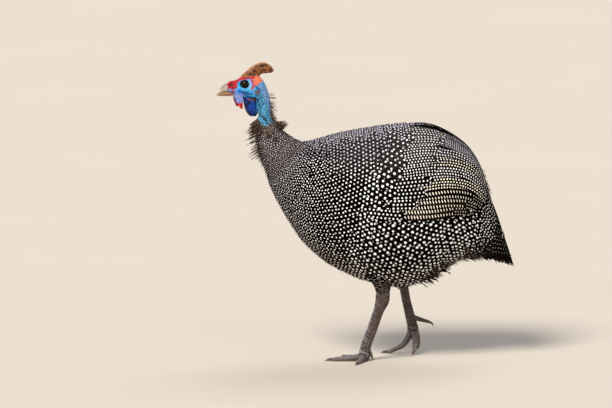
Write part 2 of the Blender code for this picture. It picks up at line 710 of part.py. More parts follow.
def make_tail():
    """The drooping tail: a core, then its fan of feathers like a roof, then a tier of coverts."""
    tail = body_node("tail", AT_RUMP, AT_TAIL_END, 9, 24, PLUMAGE)
    feathers = []
    for _, side in SIDES:
        for k, (degrees, tip) in enumerate(RECTRICES):
            angle = -side * math.radians(degrees)
            end = mirrored(Vector(tip), side)
            root, middle = body(26.8, angle, -1.5), body(28.3, angle, 1.2)
            normals = [body_normal(26.6, angle), body_normal(28.2, angle), body_normal(29.0, angle)]
            spine = smooth_path([root, middle, middle.lerp(end, 0.55), end], 5)
            facing = [v.normalized() for v in smooth_path(normals, 5)]
            halves = smooth_sizes(RECTRIX_HALF_WIDTHS, 5)
            feathers.append(vane(f"rectrix_{k}", spine, facing, halves, VANE_THICKNESS, TAIL_TILT * side))
        for k in range(TAIL_COVERTS):
            degrees = 9.0 + 20.0 * k
            points = ((26.4, degrees), (27.5, degrees), (28.8, degrees))
            feathers.append(lying_vane(f"tail_covert_{k}", side, points, TAIL_COVERT_HALF_WIDTHS,
                                       TAIL_COVERT_LIFTS, TAIL_TILT, 4))
    fuse(tail, feathers)
    return tail


# Limbs are spines of (place, radius). A shank runs from the hock to the ball of the foot.
THIGHS = {
    LEFT: [((14.0, -36.0, 146.0), 21.0), ((23.0, -35.5, 128.0), 15.5), ((27.0, -35.0, 108.5), 10.4)],
    RIGHT: [((46.0, 35.0, 142.0), 20.0), ((53.0, 34.5, 124.0), 15.0), ((57.4, 34.0, 106.6), 9.4)],
}
SHANKS = {
    LEFT: [
        ((27.2, -35.0, 107.5), 9.8),
        ((26.6, -35.0, 98.0), 10.8),
        ((25.4, -35.0, 90.0), 10.4),
        ((20.6, -35.1, 76.7), 8.1),
        ((15.3, -35.3, 61.5), 7.8),
        ((10.0, -35.5, 46.0), 7.8),
        ((4.2, -35.7, 31.0), 7.9),
        ((-1.6, -36.0, 12.0), 8.2),
    ],
    RIGHT: [
        ((57.6, 34.0, 105.8), 8.2),
        ((59.6, 34.0, 97.6), 7.0),
        ((62.4, 34.0, 82.4), 6.9),
        ((66.0, 34.0, 67.3), 7.2),
        ((69.6, 34.0, 52.0), 7.6),
        ((72.8, 34.0, 40.5), 8.0),
    ],
}
PADS = {LEFT: ((-1.5, -36.0, 7.2), 9.2), RIGHT: ((72.6, 34.0, 39.5), 8.6)}
SHANK_WIDTH = 0.72  # its width over its depth
# Each toe: its points from the ball to the root of its claw, then the claw's middle and tip.
TOES = {
    (LEFT, "middle"): [(-6, -36.4, 6.6), (-20, -37, 3.9), (-36, -37.6, 3.2), (-48, -38, 2.5),
                       (-54, -38.2, 2.7), (-60, -38.4, 0.8)],
    (LEFT, "outer"): [(-3.5, -42, 6.2), (-6.5, -52, 3.5), (-9.5, -62, 2.9), (-11.5, -69, 2.3),
                      (-13, -74, 2.6), (-14.4, -78.5, 0.8)],
    (LEFT, "inner"): [(-6, -31, 6.2), (-15, -23, 3.5), (-23, -15, 2.9), (-28.5, -9.5, 2.3),
                      (-32.5, -5.5, 2.6), (-36, -2, 0.8)],
    (LEFT, "back"): [(3.0, -34.0, 18.0), (6.0, -32.8, 13.5), (8.4, -31.8, 9.6), (9.8, -31.2, 6.8),
                     (11.0, -30.7, 4.2), (11.4, -30.5, 1.4)],
    (RIGHT, "middle"): [(71, 34, 36), (65.5, 34, 23.5), (56, 34.2, 11.5), (36, 35, 2.3),
                        (30, 35.2, 2.7), (24.6, 35.4, 0.8)],
    (RIGHT, "outer"): [(76.5, 38.5, 35), (79.5, 45, 22), (80.5, 50, 11), (79.0, 54, 4.6),
                       (76.5, 56, 2.6), (73.3, 57, 0.8)],
    (RIGHT, "inner"): [(75, 29.5, 33), (76, 24, 20), (75.5, 20, 10.5), (74, 17.5, 5.4),
                       (72.6, 16, 2.9), (70.6, 14.4, 0.8)],
    (RIGHT, "back"): [(74, 34, 55), (82, 33.5, 52.6), (89, 33, 50.6), (97, 32.6, 48.5),
                      (101.4, 32.4, 46.4), (103.4, 32.3, 42.0)],
}
TOE_RADII = {
    "middle": (6.0, 4.9, 4.1, 3.2),
    "outer": (4.9, 4.0, 3.4, 2.8),
    "inner": (4.9, 4.0, 3.4, 2.8),
    "back": (4.4, 3.6, 3.0, 2.5),
}


def limb(name, stations, count, finish, around, flat):
    spine = smooth_path([place for place, _ in stations], count)
    radii = smooth_sizes([radius for _, radius in stations], count)
    return tube(name, spine, radii, finish, around, flat)


def make_leg(label, side, torso):
    shank = limb(f"shank_{label}", SHANKS[side], 9, LEG_SCALES, 12, SHANK_WIDTH)
    place, radius = PADS[side]
    shares = (-1.0, -0.75, -0.3, 0.3, 0.75, 1.0)
    pad = tube("pad", [Vector(place) + Vector((0, 0, share * radius)) for share in shares],
               [radius * math.sqrt(max(1 - share**2, 0.06)) for share in shares],
               LEG_SCALES, 10, 0.9, cutters, floor=True)
    fuse(shank, [pad])
    carve(shank, torso)
    thigh = limb(f"thigh_{label}", THIGHS[side], 5, PLUMAGE, 16, 0.85)
    carve(thigh, torso, shank)
    made = []
    for toe in ("middle", "outer", "inner", "back"):
        *joints, middle, tip = [Vector(p) for p in TOES[side, toe]]
        radii = TOE_RADII[toe]
        node = tube(f"toe_{toe}_{label}", smooth_path(joints, 6), smooth_sizes(radii, 6), LEG_SCALES,
                    10, 1.1, floor=True)
        others = [other for other in made if toe != "back"]
        carve(node, shank, *others)
        made.append(node)
        ahead = (joints[-1] - joints[-2]).normalized()
        curve = smooth_path([joints[-1] - ahead, middle, tip], 4)
        claw_radii = smooth_sizes((radii[-1] * 0.8, radii[-1] * 0.62, 0.45), 4)
        claw = tube(f"claw_{toe}_{label}", curve, claw_radii, CLAW_HORN, 8, 0.8, floor=True)
        carve(claw, node)


def make_bird():
    start_scene()
    head = make_head()
    throat = make_head_parts(head)
    make_neck(throat, head)
    torso = body_node("torso", AT_BREAST, AT_RUMP, 18, 32, PLUMAGE)
    tail = make_tail()
    for label, side in SIDES:
        make_wing(label, side, torso, tail)
        make_leg(label, side, torso)
    for node in bird.objects:
        merge_flat_faces(node)


make_bird()
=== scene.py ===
"""A helmeted guinea fowl in mid stride, life size: skin, horn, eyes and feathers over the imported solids.

The bird faces -X, its left side is -Y and the floor is z = 0. Shapes are worked out in millimetres.
"""
import math
import random

import bpy
import numpy as np
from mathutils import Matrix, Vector, noise
from mathutils.geometry import delaunay_2d_cdt


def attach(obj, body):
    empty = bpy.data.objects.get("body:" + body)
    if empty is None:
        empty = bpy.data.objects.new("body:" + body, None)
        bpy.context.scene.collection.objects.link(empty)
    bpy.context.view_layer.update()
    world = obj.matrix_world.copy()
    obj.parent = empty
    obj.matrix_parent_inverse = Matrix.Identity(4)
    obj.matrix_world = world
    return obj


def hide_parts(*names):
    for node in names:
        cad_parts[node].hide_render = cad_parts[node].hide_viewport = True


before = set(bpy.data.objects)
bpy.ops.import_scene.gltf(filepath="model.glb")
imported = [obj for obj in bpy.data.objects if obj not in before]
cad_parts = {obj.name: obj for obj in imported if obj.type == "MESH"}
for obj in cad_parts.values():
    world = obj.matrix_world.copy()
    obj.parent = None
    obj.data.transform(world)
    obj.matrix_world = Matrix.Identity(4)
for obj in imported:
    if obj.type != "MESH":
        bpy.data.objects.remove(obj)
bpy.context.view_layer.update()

# The bare skin: one thin skin over the skull and the upper neck, with the throat's pouch and the two
# wattles. It is warty round the nostrils, folded into lids and wrinkled down the nape.
# Each station is the top and the bottom of a section in the middle plane, its half width, and how
# far its widest level lies below its middle.
STATIONS = np.array([
    (-207.0, 414.0, -205.5, 402.5, 4.5, 0.0),
    (-202.5, 417.5, -201.0, 398.5, 6.6, 0.0),
    (-195.0, 419.5, -195.0, 396.5, 8.8, 0.0),
    (-187.5, 422.5, -187.5, 395.5, 11.6, 0.0),
    (-178.5, 426.0, -180.0, 394.5, 13.4, 0.0),
    (-168.0, 427.5, -172.5, 392.0, 13.9, 0.0),
    (-158.5, 425.5, -167.0, 388.5, 13.3, 0.0),
    (-151.5, 417.5, -164.0, 384.0, 12.0, 0.0),
    (-146.0, 405.0, -162.0, 379.5, 10.8, 0.0),
    (-142.5, 391.5, -160.5, 375.0, 10.2, 0.0),
    (-140.5, 378.0, -160.0, 369.5, 10.0, 0.0),
    (-139.5, 365.0, -161.0, 362.0, 10.6, 0.0),
    (-134.0, 353.5, -164.0, 350.0, 13.0, 0.0),
    (-121.5, 343.0, -163.5, 332.5, 19.0, 0.0),
    (-109.5, 334.5, -159.0, 311.0, 27.0, 0.04),
    (-99.0, 329.0, -150.0, 281.0, 37.0, 0.08),
    (-87.0, 328.0, -138.0, 249.0, 48.0, 0.10),
    (-70.0, 332.0, -120.0, 216.0, 60.0, 0.12),
    (-45.0, 339.0, -94.5, 177.0, 71.0, 0.14),
    (-15.0, 345.5, -60.0, 146.5, 79.0, 0.15),
    (19.5, 351.0, -20.0, 125.0, 84.0, 0.15),
    (52.5, 355.0, 22.5, 111.5, 85.0, 0.14),
    (82.5, 354.0, 60.0, 108.5, 82.0, 0.12),
    (109.5, 347.0, 90.0, 117.0, 76.0, 0.10),
    (135.0, 333.0, 115.5, 134.0, 68.0, 0.08),
    (157.0, 313.0, 139.5, 147.0, 57.0, 0.05),
    (173.0, 286.0, 162.0, 152.0, 45.0, 0.0),
    (182.0, 258.5, 178.0, 153.0, 34.0, 0.0),
    (191.5, 227.0, 190.5, 152.0, 24.0, 0.0),
    (201.5, 197.0, 201.0, 149.0, 14.0, 0.0),
    (212.0, 175.0, 212.0, 145.0, 7.0, 0.0),
])
THROAT = np.array([
    (-184.0, 397.5, -163.0, 395.5, 7.6, 0.0),
    (-182.6, 389.0, -161.0, 386.5, 8.4, 0.0),
    (-181.0, 380.0, -160.5, 378.0, 8.2, 0.0),
    (-177.4, 370.8, -160.6, 370.2, 6.8, 0.0),
    (-172.5, 365.6, -163.5, 365.3, 3.8, 0.0),
])
WATTLE = np.array([
    (-195.5, 405.0, -181.5, 402.5, 1.9, 0.0),
    (-195.5, 397.5, -182.0, 396.5, 1.8, 0.0),
    (-194.0, 390.5, -182.5, 389.0, 1.7, 0.0),
    (-190.0, 384.0, -182.8, 382.8, 1.5, 0.0),
    (-186.8, 378.8, -183.0, 378.2, 1.0, 0.0),
])
WATTLE_ROOT, WATTLE_SPLAY, RIGHT_WATTLE_SWING = 10.6, 0.16, -0.26
EYE_CENTRE, EYE_RADII = (-180.0, 10.0, 414.8), (6.8, 5.4, 6.4)
EAR, NOSTRIL = (-161.5, 403.3), (-201.5, 413.4)
BARE_END = 12.3  # the station where the feathers have closed over the bare skin
SIDES = (("left", -1), ("right", 1))


def along(stations, s):
    """Station values at every s by a smooth curve through them, straight past the ends."""
    s = np.asarray(s, float)
    last = len(stations) - 1
    i = np.clip(np.floor(s).astype(int), 0, last - 1)
    t = (s - i)[..., None]
    m, a, b, n = (stations[np.clip(i + k, 0, last)] for k in (-1, 0, 1, 2))
    leave, arrive = (b - m) / 2, (n - a) / 2
    curve = a + leave * t + (3 * (b - a) - 2 * leave - arrive) * t**2 + (2 * (a - b) + leave + arrive) * t**3
    return np.where((t < 0) | (t > 1), a + (b - a) * t, curve)


def curve_through(points, count):
    """count points of a smooth curve through the points."""
    return along(np.array(points, float), np.linspace(0, len(points) - 1, count))


def smooth_values(values, count):
    """count numbers of a smooth run through the values."""
    return curve_through([(value,) for value in values], count)[:, 0]


def section(stations, s, angle):
    """Points of the loft at s and angle, which runs from 0 at the top over the left side."""
    values = np.moveaxis(along(stations, s), -1, 0)
    top_x, top_z, low_x, low_z, half, low = values
    up = np.cos(angle)
    x = (top_x + low_x) / 2 + (top_x - low_x) / 2 * up
    z = (top_z + low_z) / 2 + (top_z - low_z) / 2 * up
    return np.stack(np.broadcast_arrays(x, -half * np.sin(angle) * (1 - low * up), z), -1)


def unit(vectors):
    return vectors / np.maximum(np.linalg.norm(vectors, axis=-1, keepdims=True), 1e-9)


def ramp(low, high, values):
    """0 below low, 1 above high, with a soft rise between them."""
    t = np.clip((values - low) / (high - low), 0, 1)
    return t * t * (3 - 2 * t)


def facing(forth, round_it):
    """The normal of a surface whose places move so for each step along it and round it."""
    return unit(-np.cross(forth, round_it))


def outward(s, angle, step=0.02):
    return facing(section(STATIONS, s + step, angle) - section(STATIONS, s - step, angle),
                  section(STATIONS, s, angle + step) - section(STATIONS, s, angle - step))


def on_body(s, angle, lift):
    """Points on the bird's outer surface, lifted off it by so many millimetres."""
    return section(STATIONS, s, angle) + outward(s, angle) * np.asarray(lift)[..., None]


def tube_faces(rings, around):
    """Quads between rings of so many points, with a flat polygon over each end."""
    k = np.arange(around)
    after = (k + 1) % around
    faces = []
    for r in range(rings - 1):
        faces += (np.stack([k, after, after + around, k + around], -1) + r * around).tolist()
    return faces + [k[::-1].tolist(), (k + (rings - 1) * around).tolist()]


def joined(shells):
    """One (points, faces) pair from several."""
    points, faces, start = [], [], 0
    for p, f in shells:
        points.append(np.asarray(p).reshape(-1, 3))
        faces += [[i + start for i in face] for face in f]
        start += len(points[-1])
    return np.concatenate(points), faces


def placed(name, data):
    """A new object of a mesh, a light or a camera, in the scene."""
    made = bpy.data.objects.new(name, data)
    bpy.context.scene.collection.objects.link(made)
    return made


def piece(name, points, faces, materials):
    """An object of a mesh drawn in millimetres, riding on the bird."""
    mesh = bpy.data.meshes.new(name)
    mesh.from_pydata((np.asarray(points) * 0.001).tolist(), [], faces)
    mesh.validate()
    mesh.shade_smooth()
    for material in materials:
        mesh.materials.append(material)
    made = placed(name, mesh)
    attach(made, "root")
    return made


def melted(name, shells, voxel, rounds):
    """The points and faces of one closed skin over shells that cross each other."""
    points, faces = joined(shells)
    mesh = bpy.data.meshes.new(name)
    mesh.from_pydata(points.tolist(), [], faces)
    rough = placed(name, mesh)
    remesh = rough.modifiers.new("skin", "REMESH")
    remesh.mode = "VOXEL"
    remesh.voxel_size = voxel
    soften = rough.modifiers.new("soften", "SMOOTH")
    soften.iterations = rounds
    bpy.context.view_layer.update()
    done = bpy.data.meshes.new_from_object(rough.evaluated_get(bpy.context.evaluated_depsgraph_get()))
    bpy.data.objects.remove(rough)
    count = len(done.vertices)
    co, normals = np.empty(count * 3), np.empty(count * 3)
    done.vertices.foreach_get("co", co)
    done.vertex_normals.foreach_get("vector", normals)
    faces = [list(p.vertices) for p in done.polygons]
    bpy.data.meshes.remove(done)
    return co.reshape(-1, 3), normals.reshape(-1, 3), faces


def paint(made, name, values):
    """Stores one number per point on the mesh for its material."""
    made.data.attributes.new(name, "FLOAT", "POINT").data.foreach_set("value", np.asarray(values, np.float32))


def line_distance(x, z, starts, ends):
    """How far each place in the side view is from the nearest of the straight lines."""
    nearest = np.full(x.shape, 1e9)
    for (ax, az), (bx, bz) in zip(starts, ends):
        dx, dz = bx - ax, bz - az
        t = np.clip(((x - ax) * dx + (z - az) * dz) / (dx * dx + dz * dz), 0, 1)
        nearest = np.minimum(nearest, np.hypot(x - ax - t * dx, z - az - t * dz))
    return nearest


def inside(x, z, outline, soft):
    """1 within an outline in the side view and 0 outside it, with a soft edge."""
    after = outline[1:] + outline[:1]
    within = np.zeros(x.shape, bool)
    for (ax, az), (bx, bz) in zip(outline, after):
        crosses = (az > z) != (bz > z)
        within ^= crosses & (x < (bx - ax) * (z - az) / (bz - az + 1e-12) + ax)
    nearest = line_distance(x, z, outline, after)
    return ramp(-soft, soft, np.where(within, nearest, -nearest))


def crease(x, z, line, width):
    """1 on a line in the side view, falling off over its width."""
    return np.exp(-(line_distance(x, z, line, line[1:]) / width) ** 2)


def rippled(points, size, octaves, seed):
    """Smooth noise of about -1 to 1 at each point, whose waves are about size millimetres."""
    shift = Vector((seed, seed * 1.7, -seed))
    return np.array([noise.fractal(Vector(p) / size + shift, 1.0, 2.0, octaves) for p in points])


def knobbly(points, size, seed):
    """0 between cells and rising to about 1 in their middles, for warts and papillae."""
    shift = Vector((seed, -seed, seed * 0.5))
    near = np.array([noise.voronoi(Vector(p) / size + shift)[0][:2] for p in points])
    return np.clip(near[:, 1] - near[:, 0], 0, 0.8) / 0.8


class Shade:
    """A shader socket. Arithmetic with it adds Math nodes, and node() adds any other node."""

    def __init__(self, tree, socket=None):
        self.tree, self.socket = tree, socket

    def node(self, kind, settings=None, sockets=None, out=0):
        made = self.tree.nodes.new(kind)
        for key, value in (settings or {}).items():
            setattr(made, key, value)
        for key, value in (sockets or {}).items():
            if isinstance(value, Shade):
                self.tree.links.new(value.socket, made.inputs[key])
            else:
                made.inputs[key].default_value = value
        return Shade(self.tree, made.outputs[out])

    def math(self, operation, first, second=0.0):
        return self.node("ShaderNodeMath", {"operation": operation}, {0: first, 1: second})

    def __add__(self, other):
        return self.math("ADD", self, other)

    def __sub__(self, other):
        return self.math("SUBTRACT", self, other)

    def __rsub__(self, other):
        return self.math("SUBTRACT", other, self)

    def __mul__(self, other):
        return self.math("MULTIPLY", self, other)

    __radd__, __rmul__ = __add__, __mul__

    def rise(self, low, high):
        return self.node("ShaderNodeMapRange", {"interpolation_type": "SMOOTHSTEP"},
                         {"Value": self, "From Min": low, "From Max": high})

    def mix(self, colour, other):
        """colour where this is 0 and other where it is 1."""
        colour, other = (c if isinstance(c, Shade) else (*c, 1.0) for c in (colour, other))
        return self.node("ShaderNodeMix", {"data_type": "RGBA"}, {0: self, 6: colour, 7: other}, 2)

    def at(self, attribute):
        return self.node("ShaderNodeAttribute", {"attribute_name": attribute}, out="Fac")

    def place(self):
        return self.node("ShaderNodeTexCoord", out="Object")

    def noise(self, size, detail=3.0, rough=0.55):
        """Noise whose waves are about size millimetres."""
        return self.node("ShaderNodeTexNoise", None, {"Vector": self.place(), "Scale": 1000.0 / size,
                         "Detail": detail, "Roughness": rough})

    def bump(self, height, distance, strength=1.0):
        """distance is the height's full range in millimetres."""
        return self.node("ShaderNodeBump", None,
                         {"Height": height, "Distance": distance * 0.001, "Strength": strength})


def finish_of(name, **constants):
    """A new material: its Shade to draw with, and a function that links or sets the shader's sockets."""
    material = bpy.data.materials.new(name)
    material.use_nodes = True
    tree = material.node_tree
    shader = tree.nodes["Principled BSDF"]

    def wire(sockets):
        for key, value in sockets.items():
            socket = shader.inputs[key]
            if isinstance(value, Shade):
                tree.links.new(value.socket, socket)
            else:
                socket.default_value = (*value, 1.0) if socket.type == "RGBA" else value

    wire({key.replace("_", " "): value for key, value in constants.items()})
    return material, Shade(tree), wire


def loft(stations, first, last, rings, around):
    """The loft's rings from one station to another: their s, their angles and their points."""
    s = np.linspace(first, last, rings)[:, None]
    angle = np.linspace(0, 2 * np.pi, around, endpoint=False)[None, :]
    return s, angle, section(stations, s, angle)


def loft_shell(stations, first, last, rings, around, reshape=None):
    grid = loft(stations, first, last, rings, around)[2]
    if reshape:
        grid = reshape(grid)
    return grid.reshape(-1, 3), tube_faces(rings, around)


def hung(side):
    """Moves the wattle's section from the middle plane to its side of the face."""
    def reshape(grid):
        drop = WATTLE[0][1] - grid[..., 2]
        grid = grid.copy()
        if side > 0:
            grid[..., 0] += RIGHT_WATTLE_SWING * drop
        grid[..., 1] = side * (WATTLE_ROOT + WATTLE_SPLAY * drop + grid[..., 1])
        return grid
    return reshape


def skin_material():
    material, draw, wire = finish_of("bare_skin", Specular_IOR_Level=0.22)
    broad, middling = draw.noise(9.0), draw.noise(3.0)
    fine, speck = draw.noise(1.6, 4.0), draw.noise(0.8, 3.0)
    colour = broad.rise(0.35, 0.65).mix((0.010, 0.20, 0.66), (0.08, 0.44, 0.92))
    for part, grain, low, high, dark, light in (
        ("turquoise", fine, 0.38, 0.62, (0.005, 0.14, 0.42), (0.20, 0.66, 0.88)),
        ("ring", broad, 0.4, 0.6, (0.02, 0.34, 0.66), (0.12, 0.54, 0.80)),
        ("pale", fine, 0.38, 0.66, (0.02, 0.20, 0.62), (0.46, 0.70, 0.92)),
        ("deep", broad, 0.42, 0.6, (0.002, 0.010, 0.06), (0.006, 0.06, 0.36)),
        ("violet", middling, 0.38, 0.62, (0.05, 0.14, 0.50), (0.32, 0.33, 0.60)),
        ("orange", fine, 0.35, 0.65, (0.74, 0.10, 0.05), (0.86, 0.30, 0.16)),
        ("red", fine, 0.40, 0.64, (0.17, 0.001, 0.004), (0.80, 0.045, 0.06)),
        ("brown", speck, 0.4, 0.6, (0.06, 0.015, 0.007), (0.40, 0.15, 0.06)),
    ):
        colour = draw.at(part).mix(colour, grain.rise(low, high).mix(dark, light))
    # The crease paint is painted shade: in the skin's folds and wrinkles, in the nostril's hole, in the
    # socket round the eye, along the upper lid and between the papillae. It also darkens a band down the
    # pouch's front edge.
    colour = draw.at("crease").mix(colour, (0.003, 0.004, 0.022))
    wire({"Base Color": colour, "Roughness": fine * 0.25 + 0.4,
          "Normal": draw.bump(draw.noise(0.9, 4.0, 0.6), 0.3)})
    return material


BARE_SKIN = skin_material()
# How the brow and the lids rise from the skull: distances from the eye's axis and from the middle plane.
LID_PROFILE = [(2.0, 3.0), (11.6, 3.0), (11.3, 5.8), (10.7, 8.4), (9.8, 10.5), (8.9, 11.9), (8.0, 12.7),
               (7.2, 12.9), (6.5, 12.5), (6.1, 11.6), (5.9, 10.0), (2.0, 9.6)]
LID_SQUASH = 0.92  # the lids' height for their length


def eye_lids():
    """A mound with a thick rim round each eye, which the eyeball sits in."""
    shells, rings, around = [], 56, 48
    ring = np.linspace(0, 2 * np.pi, around, endpoint=False)[None, :]
    reach, out = curve_through(LID_PROFILE, rings).T[:, :, None]
    for _, side in SIDES:
        ahead = reach * np.cos(ring)
        grid = np.stack([EYE_CENTRE[0] + ahead, side * (out + 0.04 * ahead * ramp(4.0, 10.0, out)),
                         EYE_CENTRE[2] + LID_SQUASH * reach * np.sin(ring)], -1)
        shells.append((grid.reshape(-1, 3), tube_faces(rings, around)))
    return shells


shells = [
    loft_shell(STATIONS, 0, BARE_END + 0.6, 90, 64),
    loft_shell(THROAT, 0, 4, 24, 40),
    *(loft_shell(WATTLE, 0, 4, 24, 24, hung(side)) for _, side in SIDES),
    *eye_lids(),
]
head_points, head_normals, head_faces = melted("bare_skin", shells, 0.62, 4)
x, y, z = head_points.T
off_side = np.abs(y)
wavy = rippled(head_points, 5.0, 2, 3.0) * 0.8
wx, wz = x + wavy, z + np.roll(wavy, 7)
eye_x, eye_z = x - EYE_CENTRE[0], (z - EYE_CENTRE[2]) / LID_SQUASH
from_eye = np.hypot(eye_x, eye_z)
beside = off_side > 5.0
wattle = (off_side > 8.5 + WATTLE_SPLAY * (405 - z)) & (z < 401) & (x < -178)
pouch = ramp(-160.5, -164.5, x + (z - 380) * 0.05) * ramp(397, 393, z) * (z > 364) * ~wattle
red = inside(wx, wz, [(-214, 422), (-200, 421), (-188, 424), (-178, 431), (-166, 431), (-165, 424),
                      (-171, 423.0), (-178, 422.2), (-184, 420.9), (-189.5, 418.4), (-190.8, 414.6),
                      (-191.5, 408.6), (-198, 406.4), (-204.8, 407.4), (-214, 404)], 0.8)
drip = inside(wx, wz, [(-171.6, 424), (-166.6, 425), (-165.4, 413), (-167.2, 408.0), (-169.2, 405.4),
                       (-170.9, 408)], 0.6)
gape = beside * inside(wx, wz, [(-203, 405), (-196, 406.5), (-192.5, 404.5), (-193.5, 401.5),
                                (-203, 400)], 0.6)
orange = inside(wx, wz, [(-176, 432), (-150, 430), (-150.8, 420), (-156.5, 417.0), (-160.5, 414.2),
                         (-164, 411.8), (-166.8, 408.4), (-169.2, 406), (-170.6, 409), (-170.4, 417),
                         (-172, 423)], 0.8)
ring = beside * inside(wx, wz, [(-191, 414.5), (-189, 418.4), (-184.5, 420.7), (-178, 422.0), (-172.6, 421.6),
                                (-169.8, 417), (-169.6, 411), (-171, 407.2), (-177, 406.2), (-184, 406.4),
                                (-189, 409)], 0.7)
lit_ring = ring * ramp(-181, -174, x) * ramp(407, 412, z)
pale = inside(wx, wz, [(-164, 413.5), (-156, 417), (-148, 417), (-139, 398), (-136, 372), (-143, 368),
                       (-147, 385), (-152, 398), (-157, 407)], 2.2)
turquoise = inside(wx, wz, [(-166, 405), (-158, 408), (-148, 398), (-140, 380), (-130, 330), (-175, 330),
                            (-166, 352), (-163, 372), (-161, 386), (-165, 395)], 2.0)
tips = wattle * (y < 0) * inside(wx, wz, [(-194.5, 388.0), (-188, 386.4), (-180, 388.4), (-178, 370),
                                          (-196, 370)], 0.6)
far_tip = wattle * (y > 0) * ramp(391, 388, z)
folds = np.zeros(len(x))
for line, width in (
    ([(-202, 402), (-196, 400.6), (-190, 400.4), (-186, 401.5)], 0.55),
    ([(-184, 401.6), (-178, 400.4), (-171, 398.9), (-168, 400.6)], 0.85),
    ([(-177, 395.8), (-171, 395.4)], 0.8),
    ([(-164.5, 411.8), (-161, 409.6), (-156.5, 406.0)], 0.85),
    ([(-164, 394), (-163.4, 384), (-161.5, 375), (-155, 366), (-146, 357), (-140, 352)], 0.9),
    ([(-161, 392), (-159, 384), (-157, 377)], 0.6),
    ([(-156, 396), (-154.5, 389), (-153, 383)], 0.5),
    ([(-157, 372), (-152, 366), (-147, 362)], 0.5),
    ([(-190.5, 403.5), (-186.5, 404.5), (-182, 402.6), (-175, 402.2)], 0.5),
):
    folds = np.maximum(folds, crease(wx, wz, line, width) * beside * ~wattle)
base_of_neck = ramp(349, 343, z)
ear_reach = np.hypot((x - EAR[0]), (z - EAR[1]) / 0.8)
slit_u = (x - NOSTRIL[0]) * 0.5 + (z - NOSTRIL[1]) * 0.87
slit_v = (x - NOSTRIL[0]) * 0.87 - (z - NOSTRIL[1]) * 0.5
slit = np.exp(-((slit_u / 2.6) ** 2 + (slit_v / 1.25) ** 2) ** 1.5) * (off_side > 2)
slit_rim = np.exp(-((np.hypot(slit_u / 3.8, slit_v / 2.4) - 1) / 0.35) ** 2) * (off_side > 2)
warts = knobbly(head_points, 2.6, 4.0)
papillae = knobbly(head_points * (1.0, 1.0, 0.6), 1.5, 9.0)
lines = 1 - np.abs(rippled(head_points * (1.0, 1.0, 2.4), 4.5, 3, 11.0)) * 2.4
rise_by = (
    1.6 * red * (1 - slit) * (warts - 0.35) * ramp(-184, -190, x)
    + 0.35 * red * ramp(-190, -184, x) * (warts - 0.4)
    + 0.4 * np.maximum(pale, turquoise) * (papillae - 0.4) * (off_side > 1)
    - 0.35 * turquoise * np.clip(lines, 0, 1)
    - 0.25 * pouch * np.clip(lines, 0, 1)
    - 0.9 * folds
    + beside * (0.45 * np.exp(-((from_eye - 10.2) / 0.8) ** 2) - 0.4 * np.exp(-((from_eye - 8.9) / 0.5) ** 2))
    + beside * (0.8 * np.exp(-((ear_reach - 3.1) / 0.75) ** 2)
                - 1.4 * np.exp(-((ear_reach - 1.6) / 0.8) ** 2))
    - 1.6 * slit + 0.8 * slit_rim
    - beside * ramp(6.4, 5.4, from_eye) * 4.5
    + 0.5 * wattle * rippled(head_points, 5.0, 2, 6.0)
)
bare_points = head_points + head_normals * rise_by[:, None]
# A painted shadow along the upper lid's rim.
above_eye = (eye_z - 0.6 * eye_x) / np.maximum(from_eye, 1)
upper_lid_shadow = beside * np.exp(-((from_eye - 7.1) / 0.75) ** 2) * ramp(0.0, 0.6, above_eye)
ear_ring = beside * np.exp(-((ear_reach - 2.6) / 1.3) ** 4) * (1.15 + 0.5 * rippled(head_points, 2.4, 2, 8.0))
# A brown line painted along the fold under the jaw: painted shade.
jowl = crease(wx, wz, [(-175.5, 391.6), (-168, 391.0), (-163, 390.4)], 1.1) * pouch
front_edge = pouch * ramp(-180.4, -182.4, x - ramp(384, 366, z) * 9.0)
# Painted shade in the grooves between the papillae.
groove_shade = ramp(0.25, 0.0, papillae) * np.maximum(pale * 0.6, turquoise * 0.8)
folds, groove_shade, lines = (v * (1 - np.exp(-(ear_reach / 4.2) ** 4)) for v in (folds, groove_shade, lines))
paints = {
    "red": np.clip(np.maximum(red, drip * 0.8) * (1 - ring) + tips + far_tip + gape * 0.7, 0, 1),
    "orange": orange * (1 - ring) * (1 - drip * 0.6),
    "ring": ring,
    "pale": np.clip(pale + 0.85 * lit_ring + beside * np.exp(-(ear_reach / 1.1) ** 2), 0, 1),
    "turquoise": turquoise,
    "deep": pouch,
    # The far wattle is painted brown where the near one is violet, a painted shadow on it; its tip stays red.
    # The line under the jaw is painted shade too.
    "violet": wattle * (1 - tips) * (1 - far_tip) * (y < 0),
    "brown": np.clip(base_of_neck + ear_ring + jowl * 0.8 + wattle * (y > 0) * (1 - far_tip)
                     + gape * 0.5 * ramp(404, 401, z), 0, 1),
    # Painted shade in the folds and wrinkles, the nostril, the eye's socket, along the upper lid and between
    # the papillae, and a dark band down the pouch's front edge.
    "crease": np.clip(folds + slit * 1.6 + beside * ramp(6.9, 6.3, from_eye) + upper_lid_shadow * 0.9
                      + front_edge * 0.85 + groove_shade + 0.6 * turquoise * np.clip(lines - 0.4, 0, 1), 0, 1),
}

# The skin under the feathers: the same skin carried on over the neck, body, tail and thighs, sunk by
# the depth of the coat. It is dark with pale spots, so that what shows between feathers matches them.
COAT_DEPTH, LIMB_FLATNESS = 3.6, 0.85  # in millimetres, and a thigh's width for its depth
THIGHS = {
    -1: [((14.0, -36.0, 146.0), 21.0), ((23.0, -35.5, 128.0), 15.5), ((27.0, -35.0, 108.5), 10.4)],
    1: [((46.0, 35.0, 142.0), 20.0), ((53.0, 34.5, 124.0), 15.0), ((57.4, 34.0, 106.6), 9.4)],
}


